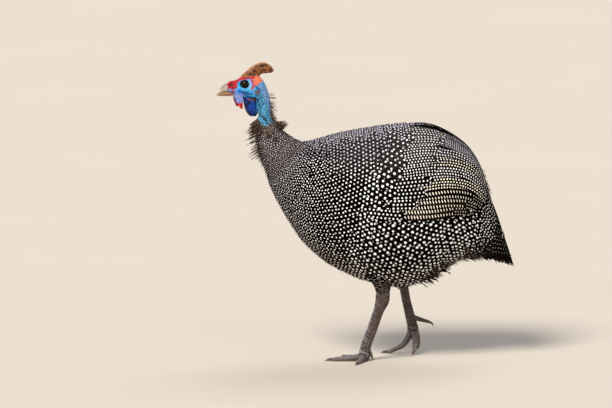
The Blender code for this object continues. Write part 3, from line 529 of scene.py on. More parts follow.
def limb_rings(spine, radii, around, flat, floor=False):
    """Rings round a spine: their points, and the angle of each point round the limb."""
    ahead = unit(np.gradient(spine, axis=0))
    across = unit(np.cross(ahead, (0.0, 0.0, 1.0)))
    over = unit(np.cross(across, ahead))
    angle = np.linspace(0, 2 * np.pi, around, endpoint=False)
    outwards = (across[:, None] * np.cos(angle)[None, :, None] * flat
                + over[:, None] * np.sin(angle)[None, :, None])
    rings = spine[:, None] + outwards * np.asarray(radii)[:, None, None]
    if floor:
        rings[..., 2] = np.maximum(rings[..., 2], 0.0)
    return rings, angle


def limb_line(stations, count):
    """count places down a limb's middle, and its radius at each."""
    return (curve_through([place for place, _ in stations], count),
            smooth_values([radius for _, radius in stations], count))


def skin_under_coat():
    rings, around, limb_rows, limb_around = 90, 96, 16, 32
    s = np.linspace(BARE_END - 0.3, 29.6, rings)[:, None]
    angle = np.linspace(0, 2 * np.pi, around, endpoint=False)[None, :]
    depth = COAT_DEPTH * ramp(12.0, 14.5, s) * (1 - 0.45 * ramp(27.5, 29.6, s)) + 0.3
    body = on_body(s, angle, -np.broadcast_to(depth, (rings, around)))
    shells = [(body.reshape(-1, 3), tube_faces(rings, around))]
    for stations in THIGHS.values():
        spine, radii = limb_line(stations, limb_rows)
        limb, _ = limb_rings(spine, radii - 1.6, limb_around, LIMB_FLATNESS)
        shells.append((limb.reshape(-1, 3), tube_faces(limb_rows, limb_around)))
    return joined(shells)


def coat_skin_material():
    material, draw, wire = finish_of("skin_under_coat", Roughness=0.8)
    cells = draw.node("ShaderNodeTexVoronoi", None,
                      {"Vector": draw.place(), "Scale": 140.0, "Randomness": 0.7})
    spot = 1 - cells.rise(0.22, 0.30)
    ground = draw.noise(4.0).mix((0.001, 0.001, 0.001), (0.02, 0.014, 0.011))
    wire({"Base Color": spot.mix(ground, (0.62, 0.60, 0.57)), "Normal": draw.bump(draw.noise(1.2), 0.4)})
    return material


under_points, under_faces = skin_under_coat()
skin_points, skin_faces = joined([(bare_points, head_faces), (under_points, under_faces)])
skin = piece("skin", skin_points, skin_faces, [BARE_SKIN, coat_skin_material()])
skin.data.polygons.foreach_set("material_index",
                               np.repeat([0, 1], [len(head_faces), len(under_faces)]).astype(np.int32))
for attribute, values in paints.items():
    paint(skin, attribute, np.concatenate([values, np.zeros(len(under_points))]))
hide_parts("head", "neck_bare", "neck_feathered", "torso", "tail", "throat_fold",
            "wattle_left", "wattle_right", "thigh_left", "thigh_right")

# The eyes: one wet ball each, with a bulging front, a black pupil and a very dark brown iris. They sit
# in the sockets between the lids, a little deeper than the solids that they replace.
EYE_DEEPER, EYE_BULGE = 1.8, 0.9


def eye_material():
    material, draw, wire = finish_of("eye", Roughness=0.05, Coat_Weight=0.15, Coat_Roughness=0.02,
                                     Specular_IOR_Level=0.1)
    far = draw.at("far")
    iris = draw.noise(0.7).mix((0.008, 0.003, 0.002), (0.035, 0.014, 0.006))
    colour = far.rise(0.50, 0.56).mix((0.001, 0.001, 0.001), iris)
    colour = far.rise(0.86, 0.98).mix(colour, (0.004, 0.003, 0.003))
    wire({"Base Color": colour})
    return material


EYE = eye_material()
for label, side in SIDES:
    rings, around = 40, 56
    polar = np.linspace(0.02, math.pi - 0.02, rings)[:, None]
    turn = np.linspace(0, 2 * np.pi, around, endpoint=False)[None, :]
    reach = np.sin(polar)
    bulge = EYE_BULGE * np.exp(-(reach / 0.62) ** 2) * (np.cos(polar) > 0)
    rx, ry, rz = EYE_RADII
    grid = np.stack([EYE_CENTRE[0] + rx * reach * np.cos(turn),
                     side * (EYE_CENTRE[1] - EYE_DEEPER + (ry * np.cos(polar) + bulge) + 0 * turn),
                     EYE_CENTRE[2] + rz * reach * np.sin(turn)], -1)
    eye = piece(f"eye_ball_{label}", grid.reshape(-1, 3), tube_faces(rings, around), [EYE])
    paint(eye, "far", np.broadcast_to(reach, (rings, around)).ravel())
    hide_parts(f"eye_{label}")

# The bill: two horny sheaths that grow over the jaws, the upper one arched and hooked over the lower. The
# horn is grey-pink with a pale tip, redder where it grows from the skin, and the lower one is browner.
UPPER_BILL = np.array([
    (-200.0, 414.2, -198.0, 403.4, 3.2, 0.0),
    (-208.5, 414.5, -206.5, 401.9, 5.5, 0.4),
    (-213.5, 411.2, -213.0, 401.0, 4.7, 0.4),
    (-218.3, 406.4, -218.6, 399.4, 3.2, 0.3),
    (-221.8, 401.8, -222.0, 397.8, 1.8, 0.0),
    (-223.4, 398.6, -223.3, 396.6, 0.7, 0.0),
])
LOWER_BILL = np.array([
    (-196.0, 402.6, -198.0, 396.6, 5.7, 0.0),
    (-206.5, 402.4, -207.5, 395.8, 5.0, -0.4),
    (-213.0, 401.5, -213.5, 395.9, 4.1, -0.4),
    (-218.0, 399.9, -218.5, 396.0, 2.6, -0.3),
    (-220.8, 398.0, -221.0, 396.6, 1.0, 0.0),
])


def bill_material():
    material, draw, wire = finish_of("bill_horn", Specular_IOR_Level=0.5)
    streaks, mottle = draw.noise(1.1, 4.0), draw.noise(4.0)
    horn = mottle.rise(0.35, 0.65).mix((0.30, 0.20, 0.17), (0.46, 0.37, 0.33))
    tipped = draw.at("tip").mix(horn, (0.68, 0.58, 0.48))
    rooted = draw.at("base").mix(draw.at("lower").mix(tipped, (0.32, 0.16, 0.05)), (0.36, 0.07, 0.06))
    worn = (streaks.rise(0.55, 0.75) * 0.4).mix(rooted, (0.16, 0.10, 0.09))
    wire({"Base Color": worn, "Roughness": streaks * 0.3 + 0.28, "Normal": draw.bump(streaks, 0.25)})
    return material


BILL = bill_material()
for jaw, stations, brown in (("upper", UPPER_BILL, 0.0), ("lower", LOWER_BILL, 0.85)):
    rings, around = 60, 56
    s, angle, grid = loft(stations, 0, len(stations) - 1, rings, around)
    growth = 0.10 * np.sin(s * 11 + np.cos(angle) * 1.5) + 0.25 * np.cos(angle) ** 8
    grid += unit(grid - grid.mean(1, keepdims=True)) * growth[..., None]
    horn = piece(f"bill_{jaw}_horn", grid.reshape(-1, 3), tube_faces(rings, around), [BILL])
    flat_x = grid[..., 0].ravel()
    paint(horn, "tip", ramp(-213, -222, flat_x))
    paint(horn, "base", ramp(-207, -202, flat_x) * 0.8)
    paint(horn, "lower", np.full(len(flat_x), brown))
    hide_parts(f"bill_{jaw}")

# The casque: a bony knob on the crown under dry horn, brown and mottled, paler along the ridge on its
# top and towards its tip, and flaking pink where it grows from the skin.
CASQUE = np.array([
    (-189.0, 421.0, -159.0, 419.5, 6.4, 0.0),
    (-184.5, 427.5, -158.3, 425.0, 5.6, 0.0),
    (-177.8, 433.8, -156.0, 428.2, 4.8, 0.0),
    (-170.0, 440.0, -152.3, 429.8, 4.4, 0.0),
    (-161.3, 445.0, -148.0, 430.2, 4.3, 0.0),
    (-152.3, 446.8, -144.0, 430.5, 4.1, 0.0),
    (-144.8, 444.2, -140.4, 431.0, 3.5, 0.0),
    (-139.4, 439.2, -137.6, 432.4, 2.3, 0.0),
    (-136.6, 435.4, -136.4, 433.6, 0.9, 0.0),
])


def casque_material():
    material, draw, wire = finish_of("casque_horn", Specular_IOR_Level=0.2)
    patches, grain = draw.noise(4.0, 5.0, 0.7), draw.noise(1.1, 4.0)
    brown = patches.rise(0.38, 0.62).mix((0.032, 0.010, 0.006), (0.33, 0.125, 0.045))
    brown = draw.at("ridge").mix(brown, patches.rise(0.35, 0.6).mix((0.42, 0.19, 0.09), (0.74, 0.46, 0.27)))
    brown = draw.at("under").mix(brown, (0.46, 0.20, 0.04))
    brown = draw.at("root").mix(brown, grain.rise(0.4, 0.6).mix((0.48, 0.14, 0.06), (0.80, 0.44, 0.22)))
    wire({"Base Color": brown, "Roughness": grain * 0.3 + 0.45,
          "Normal": draw.bump(patches * 0.7 + grain * 0.3, 0.7)})
    return material


rings, around = 80, 80
s, angle, grid = loft(CASQUE, 0, len(CASQUE) - 1, rings, around)
away = unit(grid - grid.mean(1, keepdims=True)).reshape(-1, 3)
grid = grid.reshape(-1, 3)
ridge = (np.maximum(np.cos(angle), 0) ** 6 + 0 * s).ravel()
under = (np.maximum(-np.cos(angle), 0) ** 10 * ramp(2.5, 4.0, s)).ravel()
side_pit = (np.sin(angle) ** 2 * np.exp(-((s - 4.2) / 1.8) ** 2)).ravel()
lumps = rippled(grid, 6.0, 4, 21.0)
grid = grid + away * (0.55 * lumps - 0.7 * side_pit + 0.35 * ridge)[:, None]
casque = piece("casque_horn", grid, tube_faces(rings, around), [casque_material()])
paint(casque, "ridge", np.clip(ridge * 0.9 + ramp(6.3, 7.6, s + 0 * angle).ravel() * 0.5, 0, 1))
paint(casque, "under", under * 0.6)
paint(casque, "root", (ramp(1.5, 0.3, s + 0.35 * np.cos(angle))).ravel())
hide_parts("casque")

# The legs: shanks and toes in dry scales, broad overlapping scutes in front and over the toes, small
# ones behind, dark grey-brown with a painted blue-grey sheen on the parts that face forwards and up. The
# claws are blunt dark horn.
SHANKS = {
    -1: [((27.2, -35.0, 107.5), 9.8), ((26.6, -35.0, 98.0), 10.8), ((25.4, -35.0, 90.0), 10.4),
         ((20.6, -35.1, 76.7), 8.1), ((15.3, -35.3, 61.5), 7.8), ((10.0, -35.5, 46.0), 7.8),
         ((4.2, -35.7, 31.0), 7.9), ((-1.6, -36.0, 12.0), 8.2)],
    1: [((57.6, 34.0, 105.8), 8.2), ((59.6, 34.0, 97.6), 7.0), ((62.4, 34.0, 82.4), 6.9),
        ((66.0, 34.0, 67.3), 7.2), ((69.6, 34.0, 52.0), 7.6), ((72.8, 34.0, 40.5), 8.0)],
}
PADS = {-1: ((-1.5, -36.0, 7.2), 9.2), 1: ((72.6, 34.0, 39.5), 8.6)}
TOES = {
    (-1, "middle"): [(-6, -36.4, 6.6), (-20, -37, 3.9), (-36, -37.6, 3.2), (-48, -38, 2.5), (-54, -38.2, 2.7),
                     (-60, -38.4, 0.8)],
    (-1, "outer"): [(-3.5, -42, 6.2), (-6.5, -52, 3.5), (-9.5, -62, 2.9), (-11.5, -69, 2.3), (-13, -74, 2.6),
                    (-14.4, -78.5, 0.8)],
    (-1, "inner"): [(-6, -31, 6.2), (-15, -23, 3.5), (-23, -15, 2.9), (-28.5, -9.5, 2.3), (-32.5, -5.5, 2.6),
                    (-36, -2, 0.8)],
    (-1, "back"): [(3.0, -34.0, 18.0), (6.0, -32.8, 13.5), (8.4, -31.8, 9.6), (9.8, -31.2, 6.8),
                   (11.0, -30.7, 4.2), (11.4, -30.5, 1.4)],
    (1, "middle"): [(71, 34, 36), (65.5, 34, 23.5), (56, 34.2, 11.5), (36, 35, 2.3), (30, 35.2, 2.7),
                    (24.6, 35.4, 0.8)],
    (1, "outer"): [(76.5, 38.5, 35), (79.5, 45, 22), (80.5, 50, 11), (79.0, 54, 4.6), (76.5, 56, 2.6),
                   (73.3, 57, 0.8)],
    (1, "inner"): [(75, 29.5, 33), (76, 24, 20), (75.5, 20, 10.5), (74, 17.5, 5.4), (72.6, 16, 2.9),
                   (70.6, 14.4, 0.8)],
    (1, "back"): [(74, 34, 55), (82, 33.5, 52.6), (89, 33, 50.6), (97, 32.6, 48.5), (101.4, 32.4, 46.4),
                  (103.4, 32.3, 42.0)],
}
TOE_RADII = {"middle": (6.0, 4.9, 4.1, 3.2), "outer": (4.9, 4.0, 3.4, 2.8), "inner": (4.9, 4.0, 3.4, 2.8),
             "back": (4.4, 3.6, 3.0, 2.5)}
SHANK_SCUTE, TOE_SCUTE, SCUTE_BOW = 4.6, 2.6, 0.18  # millimetres, and a share of a scute's length


def run_along(spine):
    """How far along the spine each of its points is."""
    return np.concatenate([[0], np.cumsum(np.linalg.norm(np.diff(spine, axis=0), axis=1))])


def scaled_limb(spine, radii, flat, scute, floor):
    """A limb in scutes down its front: each scute rises to its lower edge and drops there."""
    around, front = 56, np.pi / 2
    rings, angle = limb_rings(spine, radii, around, flat, floor)
    run = run_along(spine)[:, None]
    broad = ramp(-0.15, 0.25, np.cos(angle[None, :] - front))
    saw = (run / scute + SCUTE_BOW * np.cos(2 * (angle[None, :] - front))) % 1.0
    plate = saw ** 0.8 * (1 - ramp(0.88, 1.0, saw)) - 0.3
    column = angle[None, :] * 9
    shifted = run * 1.1 + np.pi / 2 * (np.floor(column / np.pi) % 2)
    small = np.abs(np.sin(shifted)) * np.abs(np.sin(column)) - 0.5
    height = 0.60 * broad * plate + 0.55 * (1 - broad) * small
    middle = rings.mean(1, keepdims=True)
    rings = rings + unit(rings - middle) * height[..., None]
    if floor:
        rings[..., 2] = np.maximum(rings[..., 2], 0.0)
    return rings.reshape(-1, 3), tube_faces(len(spine), around)


def leg_material():
    material, draw, wire = finish_of("leg_scales", Specular_IOR_Level=0.5)
    patches, grain = draw.noise(8.0), draw.noise(1.3, 4.0)
    worn = draw.noise(2.6, 3.0).rise(0.36, 0.64)
    brown = (patches.rise(0.35, 0.65) * 0.35 + worn * 0.65).mix((0.004, 0.002, 0.002), (0.105, 0.060, 0.038))
    # A painted sheen: blue-grey where the scales face forwards and up.
    painted_sheen = draw.at("painted_sheen").mix(brown, worn.mix((0.008, 0.006, 0.011), (0.22, 0.19, 0.235)))
    dark = draw.at("hock").mix(painted_sheen, worn.mix((0.004, 0.002, 0.002), (0.085, 0.045, 0.028)))
    soled = draw.at("sole").mix(dark, (0.24, 0.12, 0.045))
    seams = draw.at("seam").mix(soled, (0.005, 0.003, 0.003))
    # The scales' raised tops are paler: dust, more of it towards the feet, and a painted highlight on the
    # crests.
    dust_and_highlight = (draw.at("crest") * draw.at("dust") * (worn * 0.6 + 0.4)).mix(seams, (0.40, 0.35, 0.33))
    wire({"Base Color": dust_and_highlight, "Roughness": grain * 0.3 + 0.36,
          "Normal": draw.bump(grain * 0.4 + worn * 0.6, 0.6)})
    return material


def neighbours_mean(points, faces):
    """The mean of each point's neighbours, from which seams and crests are told."""
    total, count = np.zeros_like(points), np.zeros(len(points))
    quads = np.array([f for f in faces if len(f) == 4])
    for a, b in ((0, 1), (1, 2), (2, 3), (3, 0)):
        for i, j in ((quads[:, a], quads[:, b]), (quads[:, b], quads[:, a])):
            np.add.at(total, i, points[j])
            np.add.at(count, i, 1)
    return total / np.maximum(count, 1)[:, None]


def hollowness(points, normals, faces, rounds=5):
    """Millimetres by which each point lies under the smoothed surface."""
    smooth = points
    for _ in range(rounds):
        smooth = neighbours_mean(smooth, faces)
    return ((smooth - points) * normals).sum(1)


def scute_bands(points, forward, spines):
    """For each point on the scutes' side, how near it is to the lower edge of its scute."""
    places = np.concatenate([spine for spine, _ in spines])
    runs = np.concatenate([np.arange(len(spine)) * np.linalg.norm(spine[1] - spine[0]) / scute
                           for spine, scute in spines])
    nearest = np.concatenate([((part[:, None] - places[None]) ** 2).sum(-1).argmin(1)
                              for part in np.array_split(points, 20)])
    saw = (runs[nearest] + SCUTE_BOW * (2 * np.clip(forward, 0, 1) ** 2 - 1)) % 1.0
    broad = ramp(-0.1, 0.35, forward)
    return broad * np.exp(-((saw - 0.95) / 0.11) ** 2), broad * ramp(0.35, 0.75, saw) * ramp(0.88, 0.8, saw)


def claw_material():
    material, draw, wire = finish_of("claw_horn", Specular_IOR_Level=0.5)
    grain = draw.noise(0.9, 4.0)
    horn = grain.mix((0.030, 0.022, 0.018), (0.12, 0.09, 0.07))
    wire({"Base Color": draw.at("tip").mix(horn, (0.16, 0.12, 0.09)), "Roughness": grain * 0.2 + 0.3,
          "Normal": draw.bump(grain, 0.15)})
    return material


LEG, CLAW = leg_material(), claw_material()
for label, side in SIDES:
    spine, radii = limb_line(SHANKS[side], 150)
    shells = [scaled_limb(spine, radii - 0.25, 0.72, SHANK_SCUTE, False)]
    spines = [(spine, SHANK_SCUTE)]
    place, radius = PADS[side]
    share = np.sin(np.linspace(-np.pi / 2 + 0.1, np.pi / 2 - 0.1, 24))
    pad = np.array(place) + np.array([(0, 0, v * radius) for v in share])
    pad = pad + np.arange(24)[:, None] * (1e-4, 0, 0)  # a little off upright, so that it has a side
    rings, _ = limb_rings(pad, radius * np.sqrt(1 - share**2), 40, 0.9, True)
    shells.append((rings.reshape(-1, 3), tube_faces(24, 40)))
    for toe, sizes in TOE_RADII.items():
        joints = np.array(TOES[side, toe], float)
        spine = curve_through(joints[:-2], 60)
        spines.append((spine, TOE_SCUTE))
        shells.append(scaled_limb(spine, smooth_values(sizes, 60) - 0.2, 1.1, TOE_SCUTE, True))
        ahead = unit(joints[-3] - joints[-4])
        line = curve_through([joints[-3] - ahead * 1.5, joints[-2], joints[-1]], 30)
        claw_radii = smooth_values((sizes[-1] * 0.8, sizes[-1] * 0.62, 0.45), 30)
        rings, _ = limb_rings(line, claw_radii, 24, 0.8, True)
        claw = piece(f"claw_horn_{toe}_{label}", rings.reshape(-1, 3), tube_faces(30, 24), [CLAW])
        paint(claw, "tip", np.repeat(np.linspace(0, 1, 30) ** 2, 24))
        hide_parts(f"claw_{toe}_{label}")
    points, normals, faces = melted("leg", shells, 0.52, 1)
    hollow = hollowness(points, normals, faces)
    leg = piece(f"leg_{label}", points, faces, [LEG])
    forward = -normals[:, 0]
    edge, face = scute_bands(points, np.where(points[:, 2] < 16, normals[:, 2], forward * 0.95), spines)
    # The painted sheen falls on the parts that face forwards and up, and fades out towards the top of the
    # shank.
    paint(leg, "painted_sheen", ramp(0.2, 0.9, forward + normals[:, 2] * 0.7) * 0.75 * ramp(115, 80, points[:, 2]))
    paint(leg, "sole", ramp(-0.4, -0.9, normals[:, 2]) * ramp(30, 12, points[:, 2]))
    paint(leg, "hock", ramp(84, 100, points[:, 2]) * 0.8)
    paint(leg, "seam", np.maximum(ramp(0.01, 0.11, hollow), 0.85 * edge))
    paint(leg, "crest", np.maximum(ramp(0.03, 0.14, -hollow), 0.8 * face))
    paint(leg, "dust", 0.25 + 0.6 * ramp(60, 15, points[:, 2]))
    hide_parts(f"shank_{label}", *(f"toe_{toe}_{label}" for toe in TOE_RADII))

# The body feathers: small rounded vanes in staggered rows from the ruff to the tail, each rooted in the
# skin and lying on the ones behind it. Nearly black with white dots, finely flecked grey on the neck.
# Each zone runs from one station to another, with so many columns of feathers round the bird.
ZONES = [(9.7, 13.3, 17), (13.1, 14.3, 22), (14.1, 15.4, 31), (15.2, 16.8, 38), (16.6, 19.9, 46),
         (19.7, 23.3, 41), (23.1, 25.0, 33), (24.8, 26.5, 28), (26.3, 29.3, 19)]
FEATHER_LENGTH, ROW_SPACING, LEAST_WIDTH = 1.9, 0.87, 4.6  # in widths between columns, and in millimetres
STATION_LENGTH, ALL_STATIONS = 33.0, 31.0  # millimetres from one to the next, and how many the map takes in
FINE, SMALL, LARGE, BACK, RUMP, PLAIN, SOFT = KINDS = range(7)
DOT_SIZES = (0.092, 0.103, 0.120, 0.086, 0.104, 0.0, 0.098)
DOTS = [(0.26, -0.25), (0.26, 0.25), (0.695, 0.0), (0.695, -0.5), (0.695, 0.5), (1.13, -0.25), (1.13, 0.25)]
CLOSE_ROWS = ((0.0, -0.333, 0.333), (-0.167, 0.167, -0.5, 0.5))
CLOSE_DOTS = [(0.2 + 0.29 * i, y) for i in range(4) for y in CLOSE_ROWS[i % 2]]
VARIANTS = 6  # how many feathers of each kind are drawn


def drawn(outline, spots, shaft):
    """A feather drawn flat: its points, its triangles, and which triangles are spots."""
    rings = [outline, *spots]
    points, faces = [], []
    for ring in rings:
        faces.append(list(range(len(points), len(points) + len(ring))))
        points += [Vector(p) for p in ring]
    edges = [(len(points) + i, len(points) + i + 1) for i in range(len(shaft) - 1)]
    points += [Vector(p) for p in shaft]
    found = delaunay_2d_cdt(points, edges, faces, 1, 1e-6, True)
    flat, triangles, owners = found[0], found[2], found[5]
    kept = [(t, o) for t, o in zip(triangles, owners) if 0 in o]
    return (np.array([tuple(p) for p in flat]), np.array([t for t, _ in kept]),
            np.array([len(o) > 1 for _, o in kept]))


def dot(x, y, across, tall=1.0, sides=8, turn=0.0):
    """A round or long spot: its radius across, how much longer it is, its corners and its turn."""
    ring, cos, sin = [], math.cos(turn), math.sin(turn)
    for i in range(sides):
        a = 2 * math.pi * (i + 0.5) / sides
        u, v = tall * across * math.cos(a), across * math.sin(a)
        ring.append((x + u * cos - v * sin, y + u * sin + v * cos))
    return ring


def body_feather(rng, kind):
    """One body feather, in widths between columns, with its tip at FEATHER_LENGTH."""
    end = FEATHER_LENGTH
    edge = []
    for i in range(17):
        a = math.pi * (i / 16 - 0.5)
        jag = (0.035 if i % 2 else -0.02) * rng.uniform(0.4, 1.4)
        edge.append((end - 0.62 + (0.62 + jag) * math.cos(a), 0.66 * math.sin(a) * (1 + jag)))
    outline = [(0.0, -0.16), (0.45, -0.50), *edge, (0.45, 0.50), (0.0, 0.16)]
    shaft = [(0.05 + i * 0.29, 0.0) for i in range(7)]
    wild = 0.06 if kind == RUMP else 0.035
    spots = [dot(end - x + rng.uniform(-wild, wild), y + rng.uniform(-wild, wild),
                 DOT_SIZES[kind] * rng.uniform(0.8, 1.15), rng.uniform(0.9, 1.25), 8, rng.uniform(-0.8, 0.8))
             for x, y in {BACK: CLOSE_DOTS, PLAIN: []}.get(kind, DOTS)]
    return drawn(outline, spots, shaft)


def bird_surface(s, angle):
    return section(STATIONS, np.clip(s, 0, 30.2), angle)


def slopes(surface, s, angle, step=0.02):
    """How far a place moves for each unit of s and of angle."""
    return ((surface(s + step, angle) - surface(s - step, angle)) / (2 * step),
            (surface(s, angle + step) - surface(s, angle - step)) / (2 * step))


def laid_on(surface, card, s, angle, size, turn, root, tip, curl):
    """The card's points on a surface for every feather: root and tip are lifts in millimetres."""
    flat = card[0]
    forth, round_it = slopes(surface, s, angle)
    normal, flow = facing(forth, round_it), unit(forth)
    side = unit(np.cross(normal, flow))
    dx, dy = flat[:, 0][None, :] * size[:, None], flat[:, 1][None, :] * size[:, None]
    cos, sin = np.cos(turn)[:, None], np.sin(turn)[:, None]
    go = flow[:, None] * (dx * cos - dy * sin)[..., None] + side[:, None] * (dx * sin + dy * cos)[..., None]
    e11, e12, e22 = ((a * b).sum(-1)[:, None]
                     for a, b in ((forth, forth), (forth, round_it), (round_it, round_it)))
    r1, r2 = (go * forth[:, None]).sum(-1), (go * round_it[:, None]).sum(-1)
    det = e11 * e22 - e12 * e12
    here_s = s[:, None] + (r1 * e22 - r2 * e12) / det
    here_angle = angle[:, None] + (e11 * r2 - e12 * r1) / det
    t = np.clip(flat[:, 0] / FEATHER_LENGTH, 0, 1)[None, :]
    lift = root[:, None] + (tip - root)[:, None] * t ** 0.8 - curl[:, None] * (flat[:, 1] ** 2)[None, :]
    return surface(here_s, here_angle) + facing(*slopes(surface, here_s, here_angle)) * lift[..., None]


def patch_uv(card, u, v):
    """Each feather's patch of 0.003 at its root's place on the unwrapped skin."""
    flat = card[0]
    local_u = np.clip(flat[:, 1] / 0.75, -1, 1) * 0.0015
    local_v = (np.clip(flat[:, 0] / FEATHER_LENGTH, 0, 1) - 0.5) * 0.003
    return np.stack([u[:, None] + local_u[None, :], v[:, None] + local_v[None, :]], -1)


class Coat:
    """Gathers feathers for one piece, then makes its mesh with the OFBake and vane maps."""

    def __init__(self):
        self.points, self.triangles, self.spots, self.patches, self.vanes, self.tints = [], [], [], [], [], []
        self.count = 0

    def add(self, card, points, patches, tint, length=FEATHER_LENGTH, spot=1):
        flat, triangles, spots = card
        feathers, each = points.shape[:2]
        starts = self.count + each * np.arange(feathers)
        self.points.append(points.reshape(-1, 3))
        self.triangles.append((triangles[None] + starts[:, None, None]).reshape(-1, 3))
        self.spots.append(np.tile(spots * spot, feathers))
        self.patches.append(patches.reshape(-1, 2))
        vane = np.stack([flat[:, 1], flat[:, 0] / length], -1)
        self.vanes.append(np.tile(vane, (feathers, 1)))
        self.tints.append(np.repeat(tint, each))
        self.count += feathers * each

    def made(self, name, materials):
        points = np.concatenate(self.points) * 0.001
        triangles = np.concatenate(self.triangles)
        mesh = bpy.data.meshes.new(name)
        mesh.vertices.add(len(points))
        mesh.vertices.foreach_set("co", points.ravel())
        mesh.loops.add(triangles.size)
        mesh.loops.foreach_set("vertex_index", triangles.ravel().astype(np.int32))
        mesh.polygons.add(len(triangles))
        mesh.polygons.foreach_set("loop_start", np.arange(0, triangles.size, 3, dtype=np.int32))
        mesh.update(calc_edges=True)
        mesh.shade_smooth()
        for material in materials:
            mesh.materials.append(material)
        mesh.polygons.foreach_set("material_index", np.concatenate(self.spots).astype(np.int32))
        for key, values in (("OFBake", self.patches), ("Vane", self.vanes)):
            layer = mesh.uv_layers.new(name=key)
            corners = np.concatenate(values)[triangles.ravel()]
            layer.uv.foreach_set("vector", corners.ravel().astype(np.float32))
        made = placed(name, mesh)
        paint(made, "tint", np.concatenate(self.tints))
        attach(made, "root")
        print(name, len(triangles), "triangles")
        return made


def plumage_material():
    material, draw, wire = finish_of("plumage", Specular_IOR_Level=0.0)
    vane = draw.node("ShaderNodeUVMap", {"uv_map": "Vane"})
    u, v = (draw.node("ShaderNodeSeparateXYZ", None, {0: vane}, axis) for axis in (0, 1))
    out = draw.math("ABSOLUTE", u)
    barbs = draw.math("SINE", (v * 2.0 - out * 1.1) * 110.0) * 0.5 + 0.5
    shaft = 1 - out.rise(0.0, 0.05)
    streaks = draw.noise(2.2, 4.0)
    black = (barbs * 0.35 + streaks * 0.5).mix((0.0002, 0.0001, 0.0001), (0.0035, 0.002, 0.0015))
    fleck = draw.noise(1.1, 2.0).rise(0.42, 0.6)
    tint = draw.at("tint")
    colour = tint.mix(black, fleck.mix((0.004, 0.003, 0.003), (0.130, 0.098, 0.100)))
    colour = (tint * -1.0).mix(colour, streaks.rise(0.4, 0.62).mix((0.040, 0.024, 0.017), (0.40, 0.27, 0.21)))
    colour = (shaft * 0.3).mix(colour, (0.02, 0.012, 0.009))
    wire({"Base Color": colour, "Roughness": streaks * 0.25 + 0.6,
          "Normal": draw.bump(barbs + shaft * 2.0, 0.12, 0.6)})
    return material


def spot_material(name, colour):
    material, _, wire = finish_of(name, Roughness=0.75, Specular_IOR_Level=0.25)
    wire({"Base Color": colour})
    return material


PLUMAGE = plumage_material()
WHITE = spot_material("white_spots", (0.97, 0.96, 0.96))
CREAM = spot_material("cream_bars", (0.95, 0.88, 0.72))
PALE_GREY = spot_material("grey_flecks", (0.74, 0.66, 0.66))
LAVENDER = spot_material("lavender_flecks", (0.70, 0.67, 0.77))
COAT_MATERIALS = [PLUMAGE, WHITE, CREAM, PALE_GREY, LAVENDER]
AS_WHITE, AS_CREAM, AS_GREY, AS_LAVENDER = 1, 2, 3, 4

# The folded wing's upper and lower edges, as stations and degrees from the back.
WING_TOP = [(17.3, 62.0), (18.0, 40.0), (19.0, 27.0), (20.5, 19.0), (22.5, 13.0), (24.2, 10.0), (25.0, 11.0)]
WING_LOW = [(17.3, 76.0), (17.9, 88.0), (19.0, 94.0), (20.5, 95.0), (22.5, 94.0), (24.0, 92.0), (25.0, 87.0)]


def within_wing(s, degrees):
    """How far inside the folded wing's edges a place is, in degrees."""
    top = np.interp(s, *np.array(WING_TOP).T, left=70, right=12)
    low = np.interp(s, *np.array(WING_LOW).T, left=70, right=86)
    return np.minimum(degrees - top, low - degrees)


def covert_border(degrees):
    """The station where the small rounded feathers end on the wing and the long coverts show."""
    return np.interp(degrees, (10, 60, 80, 95), (21.7, 21.4, 21.1, 20.6))


def feathered_from(degrees):
    """The station where the feathers begin: high on the nape and the throat, low at the sides."""
    return np.interp(degrees, (0, 15, 44, 68, 87, 112, 150, 180),
                     (9.7, 10.1, 10.95, 11.6, 11.65, 11.3, 10.8, 10.5))


def from_back(angle):
    """An angle from 0 to a full turn, as degrees from the back to either side."""
    return np.degrees(np.where(angle > np.pi, 2 * np.pi - angle, angle))


